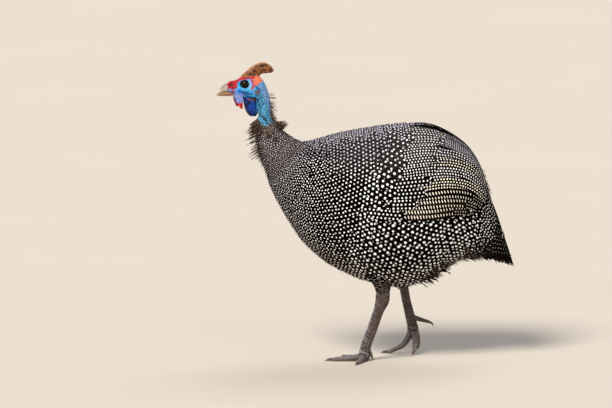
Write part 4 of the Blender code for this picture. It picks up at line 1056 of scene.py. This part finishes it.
def body_coat():
    """Every body feather's place on a staggered lattice, and what it looks like there."""
    rng = random.Random(11)
    draw = np.random.default_rng(12)
    places = []
    even = np.linspace(0, 2 * np.pi, 721)
    round_run = run_along(bird_surface(20.0, even))
    step = 0.02
    for first, last, columns in ZONES:
        fine_s = np.arange(first, last, step)
        marks = round_run[-1] * np.arange(-0.5, columns + 1.5) / columns
        angles = np.interp(marks, round_run, even)
        angles[0], angles[-1] = -angles[1], 2 * np.pi + angles[1]
        for column in range(columns):
            angle = angles[column + 1]
            forth, round_it = slopes(bird_surface, fine_s, np.full(len(fine_s), angle))
            width = np.linalg.norm(round_it, axis=-1) * (angles[column + 2] - angles[column]) / 2
            width = np.maximum(width, LEAST_WIDTH)
            rows = np.cumsum(np.linalg.norm(forth, axis=-1) * step / (ROW_SPACING * width))
            s = np.interp(np.arange(0.5 * (column % 2), rows[-1], 1.0), rows, fine_s)
            places += [(value, angle, np.interp(value, fine_s, width)) for value in s]
    s, angle, width = np.array(places).T
    degrees = from_back(angle)
    deep = within_wing(s + 0.6 * width / STATION_LENGTH, degrees)
    tip_s = s + 1.35 * width / STATION_LENGTH
    covered = (deep > 4) & (tip_s > covert_border(degrees)) & (s < 25.3) | (s < feathered_from(degrees))
    s, angle, width, degrees, deep = (v[~covered] for v in (s, angle, width, degrees, deep))
    on_wing = ramp(-2, 9, deep) * ramp(17.0, 18.2, s) * ramp(25.0, 23.0, s)
    back = ramp(62, 20, degrees) * ramp(14.5, 17.5, s) * ramp(25.5, 23.0, s)
    neck = ramp(16.6, 14.0, s) * 0.85
    # Feathers low on the sides are tinted a little brown, painted warm light bounced up from the floor; those
    # next to the bare skin are brown.
    low = ramp(125, 165, degrees) * 0.15 + 1.5 * ramp(1.2, 0.5, s - feathered_from(degrees))
    grey = np.maximum(back * 0.7, on_wing * ramp(75, 45, degrees) * 0.5)
    tint = np.maximum(neck * (1 - 0.8 * ramp(120, 160, degrees)), grey) - low
    large = (s > 19.4) & (degrees > 62)
    bare_edge = s < feathered_from(degrees) + draw.uniform(0.5, 1.5, len(s))
    on_back = (degrees < 27 + 4 * np.sin(s * 9)) & (s < 25)
    kind = np.select([bare_edge, s < 15.2, on_back, s > 25.1, large, (degrees < 52) & (s < 20)],
                     [PLAIN, FINE, BACK, RUMP, LARGE, SOFT], SMALL)
    return s, angle, width, on_wing, tint, kind, draw, rng


s, angle, width, on_wing, tint, kind, draws, rng = body_coat()
jitter = draws.normal(0, 1, (3, len(s)))
sizes = width * (1 + 0.02 * jitter[0])
turns = 0.035 * jitter[1]
roots = -2.6 * ramp(12, 15, s) - 0.6 + 1.6 * on_wing
tips_up = 0.2 + 0.05 * width + 0.25 * jitter[2] + 2.2 * on_wing
curls = 0.06 * width
region = np.where(s < 16.5, 0, np.where(angle < np.pi, 1, 2))
cards = [[body_feather(rng, k) for _ in range(VARIANTS)] for k in KINDS]
dots_as = {FINE: AS_GREY, BACK: AS_LAVENDER, SOFT: AS_LAVENDER}
pick = draws.integers(0, VARIANTS, len(s))
for number, name in enumerate(("neck_feathers", "body_feathers_left", "body_feathers_right")):
    coat = Coat()
    for k, variants in enumerate(cards):
        for j, card in enumerate(variants):
            chosen = (region == number) & (kind == k) & (pick == j)
            if not chosen.any():
                continue
            laid = laid_on(bird_surface, card, *(values[chosen] for values in (
                s, angle, sizes, turns, roots, tips_up, curls)))
            uv = patch_uv(card, angle[chosen] / (2 * np.pi), s[chosen] / ALL_STATIONS)
            coat.add(card, laid, uv, tint[chosen], spot=dots_as.get(k, AS_WHITE))
    coat.made(name, COAT_MATERIALS)

# The wings: the greater coverts and, under them, the folded secondaries, broad stiff vanes stacked like
# slats from the back down the flank, with rows of dots, and long cream bars on the lower ones. Each path
# runs from a feather's root to its tip, by stations and degrees from the back.
SECONDARY_PATHS = [
    ((20.2, 20), (22.6, 17), (24.4, 15.5), (25.6, 14)),
    ((20.4, 40), (22.6, 31), (24.6, 25), (26.2, 21)),
    ((20.4, 54), (22.8, 45), (24.8, 37), (26.6, 29)),
    ((20.4, 63), (23.0, 53.5), (25.0, 46), (26.9, 38)),
    ((20.2, 70), (23.0, 61), (25.0, 55), (26.9, 48)),
    ((20.0, 78), (23.0, 70), (25.0, 65), (26.7, 60)),
    ((19.8, 85), (22.8, 79.5), (24.8, 75.5), (26.3, 71.5)),
    ((19.6, 87.5), (22.6, 85.5), (24.4, 84.5), (25.9, 81)),
    ((19.4, 91.5), (22.2, 92), (23.8, 92), (25.2, 90.5)),
]
TERTIAL_EDGE = ((21.2, 13.5), (22.2, 12.5), (23.2, 12.0), (24.2, 11.5))
COVERT_PATHS = [
    ((20.5, 29), (21.9, 25), (23.3, 22)),
    ((20.5, 39), (21.9, 34.5), (23.2, 31)),
    ((20.5, 49), (21.8, 44), (23.1, 40.5)),
    ((20.5, 57.5), (21.7, 53.5), (23.0, 49.5)),
    ((20.3, 66), (21.6, 62), (22.9, 58.5)),
    ((20.1, 73.5), (21.4, 70), (22.7, 67.5)),
    ((19.9, 80), (21.2, 78), (22.5, 76)),
    ((19.7, 86.5), (20.9, 85.5), (22.1, 84)),
    ((19.4, 93), (20.6, 92.5), (21.6, 92)),
]


def blade(length, width_at, spots, jag, rng):
    """A long vane drawn flat in millimetres: width_at gives its half width from 0 at the root to 1."""
    count = max(8, int(length / 4))
    upper, lower = [], []
    for edge in (upper, lower):
        for i in range(count + 1):
            t = i / count
            notch = rng.uniform(-jag, 0) if i % 3 == 0 else rng.uniform(0, jag * 0.5)
            edge.append((length * t, width_at(t) + notch * (0 < t < 1)))
    tip = (length + width_at(1.0) * 0.8, 0.0)
    outline = [(x, -w) for x, w in lower] + [tip] + [(x, w) for x, w in upper[::-1]]
    shaft = [(1.0 + (length - 1.0) * i / count, 0.0) for i in range(count + 1)]
    return drawn(outline, spots, shaft)


def laid_blade(card, spine, normals, length, camber, tilt):
    """The blade's points along a spine, arched across by camber and tilted about its shaft."""
    flat = card[0]
    run = run_along(spine)
    run *= length / run[-1]
    ahead = unit(np.gradient(spine, axis=0))
    side = unit(np.cross(normals, ahead))

    def take(values):
        return np.stack([np.interp(flat[:, 0], run, values[:, k]) for k in range(3)], -1)

    past = np.maximum(flat[:, 0] - length, 0)[:, None]
    y = flat[:, 1][:, None]
    centre, across, over, forth = take(spine), take(side), take(normals), take(ahead)
    return centre + forth * past + across * y + over * (tilt * y - camber * y**2)


def blade_width(half, tip=0.38, narrow=0.8):
    """A vane's half width: full from near the root to narrow, and then down to its tip's share."""
    return lambda t: half * min(1.0, 0.45 + 1.8 * t) * (1 - ramp(narrow, 1.04, t) * (1 - tip))


def dotted(length, rows, rng, start=6.0, slant=0.5, taper=0.0):
    """Rows of dots along a vane: each row has its distance from the shaft, dot size and spacing."""
    spots = []
    for y, size, spacing in rows:
        x = start + rng.uniform(0, 2)
        while x < length - 2.5:
            grown = size * (1 - taper * x / length) * rng.uniform(0.88, 1.12)
            spots.append(dot(x + slant * y, y + rng.uniform(-0.2, 0.2), grown, 1.0, 6))
            x += spacing * rng.uniform(0.93, 1.07)
    return spots


def barred(length, y, half_long, half_wide, spacing, start, rng, turn=-0.3):
    """A row of slanting bars along a vane, shorter towards its tip."""
    spots, x = [], start
    while x < length - 6:
        shorter = 1 - 0.3 * ramp(0.6, 1.0, x / length)
        spots.append(dot(x, y, half_long * shorter * rng.uniform(0.92, 1.05), half_wide / half_long, 8, turn))
        x += spacing * rng.uniform(0.94, 1.06)
    return spots


def body_line(side, path, lifts):
    """A line on the body by stations and degrees, its normals, and how far round its root lies."""
    stations, degrees = curve_through(path, 60).T
    angles = -side * np.radians(degrees)
    return (on_body(stations, angles, smooth_values(lifts, 60)), outward(stations, angles),
            (angles[0] % (2 * np.pi)) / (2 * np.pi))


def add_blade(coat, side, line, card_of, camber, tilt, tint, order, spot=AS_WHITE):
    """One long feather along a line. card_of draws it for its length, and order is its patch's v."""
    spine, normals, around = line
    length = np.linalg.norm(np.diff(spine, axis=0), axis=1).sum()
    card = card_of(length)
    turned = (card[0] * (1, side), *card[1:])
    laid = laid_blade(turned, spine, normals, length, camber, tilt * side)
    flat = card[0] / (length / FEATHER_LENGTH, 10.0)
    uv = patch_uv((flat,), np.full(1, around), np.full(1, order))
    coat.add(card, laid[None], uv, np.full(1, tint), length, spot)


def secondary_spots(k, length, rng):
    """Flecks on the innermost two, rows of dots on the next four, then long bars that end in dots."""
    if k == 0:
        return dotted(length, [(y, 0.8, 3.5) for y in (-5.4, -2.0, 1.4, 4.8)], rng)
    if k == 1:
        return dotted(length, [(y, 0.86, 3.5) for y in (-5.4, -2.4, 0.6, 3.6, 6.4)], rng)
    if k < 6:
        size = (1.3, 1.4, 1.45, 1.55)[k - 2]
        return dotted(length, [(y, size, 4.5) for y in (-6.6, -2.4, 1.8, 6.0)], rng, 4.0, 0.45, 0.25)
    spots = []
    for y in (-4.7, 2.9):
        spots += barred(length * 0.9, y, 2.7 + 0.2 * (k - 6), 0.9, 4.5, 4.0, rng)
    rest = [(y, 0.8, 4.4) for y in (-4.5, -0.3, 4.0)]
    return spots + [spot for spot in dotted(length, rest, rng) if spot[0][0] > length * 0.9 - 4]


SECONDARY_SPOTS = (AS_LAVENDER, AS_LAVENDER, AS_WHITE, AS_CREAM, AS_WHITE, *[AS_CREAM] * 4)
SECONDARY_TINTS = (0.4, 0.6, 0.35, 0.2, 0.05, 0.0, 0.0, -0.03, -0.03)
COVERT_TINTS = (0.6, 0.6, 0.5, 0.3, 0.1, 0.0, 0.0, 0.0, 0.0)


def wing_coat(label, side):
    rng = random.Random(31)
    coat = Coat()
    for k, path in enumerate(SECONDARY_PATHS):
        def secondary(length, k=k):
            width = blade_width(9.6 if k in (5, 6) else 8.7)
            return blade(length, width, secondary_spots(k, length, rng), 0.3, rng)

        top = 0.55 + 0.45 * min(k / 3, 1.0)
        line = body_line(side, path, (-2.6, 0.8 + 1.4 * top, 4.2 * top, 3.4 * top))
        add_blade(coat, side, line, secondary, 0.010, -0.10, SECONDARY_TINTS[k],
                  path[0][0] / ALL_STATIONS + 0.004 * k, SECONDARY_SPOTS[k])
    add_blade(coat, side, body_line(side, TERTIAL_EDGE, (-1.0, 3.2, 3.4, 2.2)),
              lambda length: blade(length, blade_width(2.9), [], 0.5, rng), 0.010, 0.0, 0.0, 0.72)
    for k, path in enumerate(COVERT_PATHS):
        def covert(length, k=k):
            size, spacing, rows = 1.32 + 0.045 * k, 5.6 + 0.06 * k, (-5.6, 0.0, 5.6)
            if k < 5:
                size, spacing, rows = 1.15 + 0.03 * k, 4.7, (-6.4, -2.2, 2.0, 6.2)
            spots = dotted(length, [(y, size, spacing) for y in rows], rng, 2.0, 0.5, 0.12)
            spots += [dot(length + 0.4, y, 1.15, 1.0, 6) for y in (-2.4, 2.4)]
            return blade(length, blade_width(8.4, 0.6, 0.76), spots, 0.35, rng)

        add_blade(coat, side, body_line(side, path, (-1.2, 2.4, 3.9)), covert, 0.010, -0.08, COVERT_TINTS[k],
                  path[0][0] / ALL_STATIONS + 0.004 * k + 0.002)
    return coat.made(f"wing_feathers_{label}", COAT_MATERIALS)


for label, side in SIDES:
    wing = wing_coat(label, side)
    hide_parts(f"wing_{label}")

# The tail: nine short feathers on each side in a fan folded like a roof, hanging almost straight down,
# under two tiers of soft coverts. All are nearly black and dotted, and frayed at their tips.
RECTRIX_TIPS = [  # the degrees of the root from the back, and the tip's place
    (9.0, 222.8, 4.2, 140.0), (27.0, 216.0, 12.0, 144.0), (45.0, 206.5, 20.0, 148.0),
    (64.0, 195.0, 28.0, 152.5), (84.0, 182.0, 35.0, 155.0),
]
RECTRICES, TAIL_COVERTS = 9, 8  # on each side


def tail_coat():
    rng = random.Random(41)
    coat = Coat()

    def rectrix(length):
        rows = ((-5.0, 0.95, 6.2), (0.0, 1.0, 6.6), (5.0, 0.95, 6.2))
        spots = dotted(length * 0.9, rows, rng, taper=0.45)
        return blade(length, blade_width(8.6, 0.28, 0.80), spots, 0.6, rng)

    def tail_covert(length):
        rows = ((-3.8, 1.15, 5.6), (0.4, 1.2, 5.8), (4.2, 1.15, 5.6))
        return blade(length, blade_width(7.0, 0.5, 0.74), dotted(length, rows, rng, 3.0, 0.3), 0.9, rng)

    tips = curve_through(RECTRIX_TIPS, RECTRICES)
    for _, side in SIDES:
        for k, (degrees, x, y, z) in enumerate(tips[::-1]):
            angle = -side * math.radians(degrees)
            end = np.array((x, side * y, z))
            root, middle = on_body(26.8, angle, -1.5), on_body(28.3, angle, 0.6 + 0.25 * k)
            spine = curve_through([root, middle, middle + (end - middle) * 0.55, end], 50)
            normals = unit(curve_through([outward(s, angle) for s in (26.6, 28.2, 29.0)], 50))
            around = (angle % (2 * np.pi)) / (2 * np.pi)
            add_blade(coat, side, (spine, normals, around), rectrix, 0.012, -0.12, -0.04, 0.87 + 0.004 * k)
        for tier, (first, last, lift) in enumerate(((26.6, 29.4, 2.6), (26.0, 28.3, 2.0))):
            for k in range(TAIL_COVERTS):
                degrees = 6.0 + 96.0 * (k + 0.5 * (tier % 2)) / TAIL_COVERTS
                path = ((first, degrees), ((first + last) / 2, degrees + 1.0), (last, degrees + 2.0))
                add_blade(coat, side, body_line(side, path, (-1.6, 1.4, lift)), tail_covert, 0.012, -0.05,
                          -0.04, first / ALL_STATIONS + 0.003 * k)
    return coat.made("tail_feathers", COAT_MATERIALS)


tail_coat()

# The thighs' feathers: small dotted vanes in staggered rows down to the heel, rooted in the skin and
# lying close. The wider ones are above, where the thigh leaves the flank.
def thigh_surface(side):
    stations = np.array([(*place, radius) for place, radius in THIGHS[side]])

    def surface(s, angle):
        s, angle = np.broadcast_arrays(np.asarray(s, float), np.asarray(angle, float))
        middle = along(stations, s)
        ahead = unit((along(stations, s + 0.02) - along(stations, s - 0.02))[..., :3])
        across = unit(np.cross(ahead, (0.0, 0.0, 1.0)))
        over = unit(np.cross(across, ahead))
        round_it = across * (np.cos(angle) * LIMB_FLATNESS)[..., None] + over * np.sin(angle)[..., None]
        return middle[..., :3] + round_it * middle[..., 3:]
    return surface


def thigh_coat(label, side):
    surface = thigh_surface(side)
    coat = Coat()
    rows, columns = 6, 11
    places = [(0.1 + 1.75 * (r + 0.5 * (c % 2)) / rows, 2 * math.pi * c / columns)
              for r in range(rows) for c in range(columns)]
    s, angle = np.array(places).T
    width = np.interp(s, (0, 2), (9.5, 5.2))
    pick = draws.integers(0, VARIANTS, len(s))
    for j in range(VARIANTS):
        for low, kind in ((True, SMALL), (False, LARGE)):
            chosen = (pick == j) & ((s > 1.1) == low)
            count = chosen.sum()
            if count:
                card = cards[kind][j]
                root, tip, curl = (np.full(count, value) for value in (-1.4, 0.9, 0.4))
                laid = laid_on(surface, card, s[chosen], angle[chosen], width[chosen],
                               0.1 * draws.normal(0, 1, count), root, tip, curl)
                uv = patch_uv(card, angle[chosen] / (2 * np.pi), 0.1 + s[chosen] * 0.3)
                coat.add(card, laid, uv, np.zeros(count))
    return coat.made(f"thigh_feathers_{label}", COAT_MATERIALS)


for label, side in SIDES:
    thigh_coat(label, side)

# The loose coat: frayed narrow plumes and bristles with soft parted barbs. They make the ruff where the
# feathers begin, stand up on the nape and behind the neck, and fringe the belly, heels, rump and tail.
def plume_card(rng, forks, ragged):
    """A narrow plume drawn flat, 1 long and 1 wide, with its barbs parted towards the tip."""
    edges = []
    for sign in (-1, 1):
        edge = [(0.0, 0.10 * sign), (0.18, 0.34 * sign)]
        for i in range(forks):
            t = 0.28 + 0.66 * i / forks
            wide = 0.5 * (1 - ramp(0.45, 1.05, t) * 0.75) * rng.uniform(0.8, 1.15)
            edge += [(t, wide * (1 - ragged) * sign), (t + 0.40 / forks + 0.05, wide * sign)]
        edges.append(edge)
    outline = edges[0] + [(1.0, 0.0)] + edges[1][::-1]
    shaft = [(0.04 + 0.9 * i / 5, 0.0) for i in range(6)]
    return drawn(outline, [], shaft)


def add_plumes(coat, variants, root, heading, normal, length, width, bend, tint, patch):
    """Plumes from their roots along their headings, bending towards their normals."""
    side = unit(np.cross(normal, heading))
    over = unit(np.cross(heading, side))
    pick = np.arange(len(root)) % len(variants)
    for j, card in enumerate(variants):
        chosen = pick == j
        x, y = card[0][:, 0][None, :, None], card[0][:, 1][None, :, None]
        span = length[chosen][:, None, None]
        arch = bend[chosen][:, None, None] * x * x - 0.25 * np.abs(y)
        laid = (root[chosen][:, None] + heading[chosen][:, None] * x * span
                + side[chosen][:, None] * y * width[chosen][:, None, None]
                + over[chosen][:, None] * arch * span * 0.5)
        flat = card[0] * (FEATHER_LENGTH, 1.0)
        coat.add((flat, *card[1:]), laid, patch_uv((flat,), *patch[chosen].T), tint[chosen])


PLUMES = [plume_card(random.Random(50 + i), 5, 0.45) for i in range(6)]
BRISTLES = [plume_card(random.Random(60 + i), 3, 0.30) for i in range(4)]


def scattered(count, low_s, high_s, low_deg, high_deg, draw):
    s = draw.uniform(low_s, high_s, count)
    degrees = draw.uniform(low_deg, high_deg, count) * np.where(draw.random(count) < 0.5, -1, 1)
    return s, np.radians(degrees) % (2 * np.pi)


def loose_coat():
    draw = np.random.default_rng(71)
    coat = Coat()

    def grown(s, angle, out, sink, length, width, bend, tint, variants=PLUMES, droop=0.0, spread=0.15):
        """Plumes at these places. A pair of numbers stands for one drawn between them for each plume."""
        n = len(s)
        out, length, width, bend, tint = (
            draw.uniform(*value, n) if isinstance(value, tuple) else np.broadcast_to(value, n)
            for value in (out, length, width, bend, tint))
        forth, _ = slopes(bird_surface, s, angle)
        normal, flow = outward(s, angle), unit(forth)
        side = np.cross(normal, flow)
        heading = flow + normal * out[:, None] + side * draw.normal(0, spread, n)[:, None]
        heading = unit(heading + np.array((0, 0, -droop)))
        add_plumes(coat, variants, on_body(s, angle, -sink), heading, normal, length, width, bend, tint,
                   np.stack([angle / (2 * np.pi), s / ALL_STATIONS], -1))

    def strewn(count, stations, degrees, *looks):
        """The same between two stations and two angles from the back, on both sides."""
        grown(*scattered(count, *stations, *degrees, draw), *looks)

    def edge_of(angle):
        return feathered_from(from_back(angle))

    n = 250  # the ruff's front: bristles that stand forwards from under the throat
    s, angle = scattered(n, 0.0, 1.0, 118, 180, draw)
    front = ramp(112, 150, from_back(angle))
    s = edge_of(angle) + 0.1 + s ** 1.4 * (0.5 + 2.8 * front)
    out = ((0.2 + 0.3 * draw.random(n)) * (1 - front)
           + front * np.interp(s, (10.9, 12.0, 13.4), (0.7, 1.2, 2.0)))
    length = draw.uniform(6, 10, n) + front * draw.uniform(0, 12, n) ** 1.05
    grown(s, angle, out, 1.6, length, (1.4, 3.0), (-0.1, 0.3), (-0.75, 0.0), PLUMES, 0.0, 0.35)
    # Soft brown down along the edge of the bare skin.
    s, angle = scattered(200, 0.0, 0.9, 18, 125, draw)
    grown(s + edge_of(angle), angle, (0.02, 0.25), 1.2, (4, 8), (1.2, 2.6), (0.0, 0.2), (-0.9, 0.0),
          PLUMES, 0.0, 0.3)
    # Tufts that stand out backwards and up behind the neck.
    strewn(70, (11.9, 12.8), (0, 46), (1.2, 3.0), 1.6, (9, 18), (0.9, 1.8), (-0.3, 0.1), (-0.8, -0.1),
           PLUMES, -0.4, 0.5)
    n = 150  # the nape's tufts, short ones and longer wisps
    s, angle = scattered(n, 9.2, 11.9, 0, 26, draw)
    wisp, out = draw.random(n) < 0.4, draw.uniform(0.4, 1.5, n)
    length = np.where(wisp, draw.uniform(9, 15, n), draw.uniform(4, 8, n))
    grown(s, angle, out, 1.2, length, (0.7, 1.6), (-0.3, 0.35), (-1.0, -0.5), BRISTLES, 0.0, 0.45)
    # Single hairs above them, and a sparse bristly stripe down the front of the neck.
    strewn(14, (8.2, 9.2), (0, 15), (0.8, 2.5), 1.0, (8, 12), (0.5, 0.7), (-0.2, 0.3), -0.9,
           BRISTLES, -0.3, 0.3)
    strewn(60, (13.0, 14.6), (158, 180), (0.3, 1.2), 1.6, (7, 12), (1.2, 2.4), (-0.1, 0.2), (-0.9, -0.3),
           PLUMES, 0.0, 0.2)
    # The belly's fringe, soft plumes behind the thighs, and the dark loose mass from there to the tail.
    strewn(420, (18.5, 25.0), (146, 180), (0.05, 0.35), 3.0, (10, 17), (2.2, 4.2), (-0.3, 0.1), (-0.5, 0.0),
           PLUMES, 0.15)
    strewn(150, (23.0, 25.6), (148, 176), (0.1, 0.5), 3.0, (12, 20), (1.6, 3.2), (-0.3, 0.1), (-0.6, -0.1),
           PLUMES, 0.25)
    strewn(170, (25.0, 28.2), (128, 178), (0.3, 0.75), 2.0, (12, 19), (1.8, 3.4), (-0.3, 0.0), (-0.25, 0.0),
           PLUMES, 0.1, 0.25)
    # Down under the tail, frayed edges down the back of the rump, and more where the folded wings end.
    strewn(240, (25.6, 29.6), (96, 176), (0.05, 0.35), 2.0, (10, 17), (1.6, 3.2), (-0.3, 0.1), (-0.5, 0.0),
           PLUMES, 0.15)
    strewn(160, (24.6, 29.4), (0, 34), (0.05, 0.3), 1.5, (8, 14), (1.0, 2.2), (-0.1, 0.1), (-0.6, 0.0))
    strewn(90, (25.6, 27.1), (14, 58), (0.3, 0.7), -1.0, (8, 13), (0.9, 1.8), (-0.2, 0.1), (-0.6, 0.0),
           PLUMES, 0.0, 0.25)
    # A tuft behind each thigh, and a fringe round each heel.
    strewn(110, (22.6, 24.0), (146, 172), (0.3, 1.0), 3.0, (13, 20), (1.8, 3.4), (-0.3, 0.1), (-0.3, 0.0),
           PLUMES, 0.6, 0.3)
    n = 90
    for _, side in SIDES:
        surface = thigh_surface(side)
        s, angle = draw.uniform(1.1, 1.85, n), draw.uniform(0, 2 * np.pi, n)
        forth, round_it = slopes(surface, s, angle)
        normal, flow = facing(forth, round_it), unit(forth)
        heading = unit(flow + normal * draw.uniform(0.02, 0.25, n)[:, None])
        add_plumes(coat, PLUMES, surface(s, angle) - normal, heading, normal, draw.uniform(7, 13, n),
                   draw.uniform(1.6, 3.0, n), draw.uniform(-0.2, 0.1, n), draw.uniform(-0.7, -0.2, n),
                   np.stack([angle / (2 * np.pi), 0.02 + s * 0.1], -1))
    return coat.made("loose_plumes", COAT_MATERIALS)


loose_coat()

# The studio: a plain pale floor that ends, far off, in a low wall with a pale light of its own. One large
# soft light stands high on the left, and weaker ones fill the far side and catch the back. The camera has
# the photograph's viewing angle and framing.
WALL_DISTANCE, WALL_HEIGHT, WALL_SIDES = 20, 2.5, 48  # in metres, and how many flat sides it has


def floor_material():
    material, draw, wire = finish_of("studio_floor", Roughness=0.9)
    wire({"Base Color": draw.noise(400.0).mix((0.64, 0.57, 0.48), (0.68, 0.60, 0.51))})
    return material


corners = [(WALL_DISTANCE * math.cos(a), WALL_DISTANCE * math.sin(a))
           for a in np.linspace(0, 2 * math.pi, WALL_SIDES, endpoint=False)]
walls = [(i, (i + 1) % WALL_SIDES, (i + 1) % WALL_SIDES + WALL_SIDES, i + WALL_SIDES)
         for i in range(WALL_SIDES)]
floor_mesh = bpy.data.meshes.new("studio_floor")
floor_mesh.from_pydata([(x, y, z) for z in (0, WALL_HEIGHT) for x, y in corners], [],
                       [tuple(range(WALL_SIDES)), *walls])
floor_mesh.materials.append(floor_material())
floor_mesh.materials.append(finish_of("studio_horizon", Base_Color=(0.0, 0.0, 0.0), Specular_IOR_Level=0.0,
                                      Emission_Color=(0.84, 0.76, 0.67), Emission_Strength=1.0)[0])
floor_mesh.polygons.foreach_set("material_index", np.array([0] + [1] * WALL_SIDES, np.int32))
placed("studio_floor", floor_mesh)


def sun(name, place, spread, strength, colour):
    """A light from far off in the direction of place, as wide in degrees as spread."""
    light = bpy.data.lights.new(name, "SUN")
    light.angle, light.energy, light.color = math.radians(spread), strength, colour
    made = placed(name, light)
    made.location = place
    made.rotation_euler = Vector(place).to_track_quat("Z", "Y").to_euler()


sun("key", (-1.5, -2.3, 3.1), 22, 3.3, (1.0, 0.96, 0.90))
sun("fill", (2.6, -2.6, 1.4), 40, 0.30, (0.90, 0.95, 1.0))
sun("rim", (1.0, 2.2, 2.8), 30, 0.9, (0.90, 0.93, 1.0))
world = bpy.data.worlds.new("studio")
world.use_nodes = True
sky = world.node_tree.nodes["Background"].inputs
sky["Color"].default_value, sky["Strength"].default_value = (0.86, 0.90, 1.0, 1.0), 0.30
bpy.context.scene.world = world
bpy.context.scene.view_settings.view_transform = "Standard"

AIM, DISTANCE, ELEVATION = Vector((-0.0885, 0.0, 0.2326)), 10.0, math.radians(8.0)
MILLIMETRES_A_PIXEL, WIDTH = 1.5, 612
camera = bpy.data.cameras.new("camera")
camera.lens = camera.sensor_width * DISTANCE / (WIDTH * MILLIMETRES_A_PIXEL * 0.001)
camera.clip_end = 60.0
eye_point = placed("camera", camera)
eye_point.location = AIM + Vector((0, -math.cos(ELEVATION), math.sin(ELEVATION))) * DISTANCE
eye_point.rotation_euler = (math.pi / 2 - ELEVATION, 0, 0)
bpy.context.scene.camera = eye_point
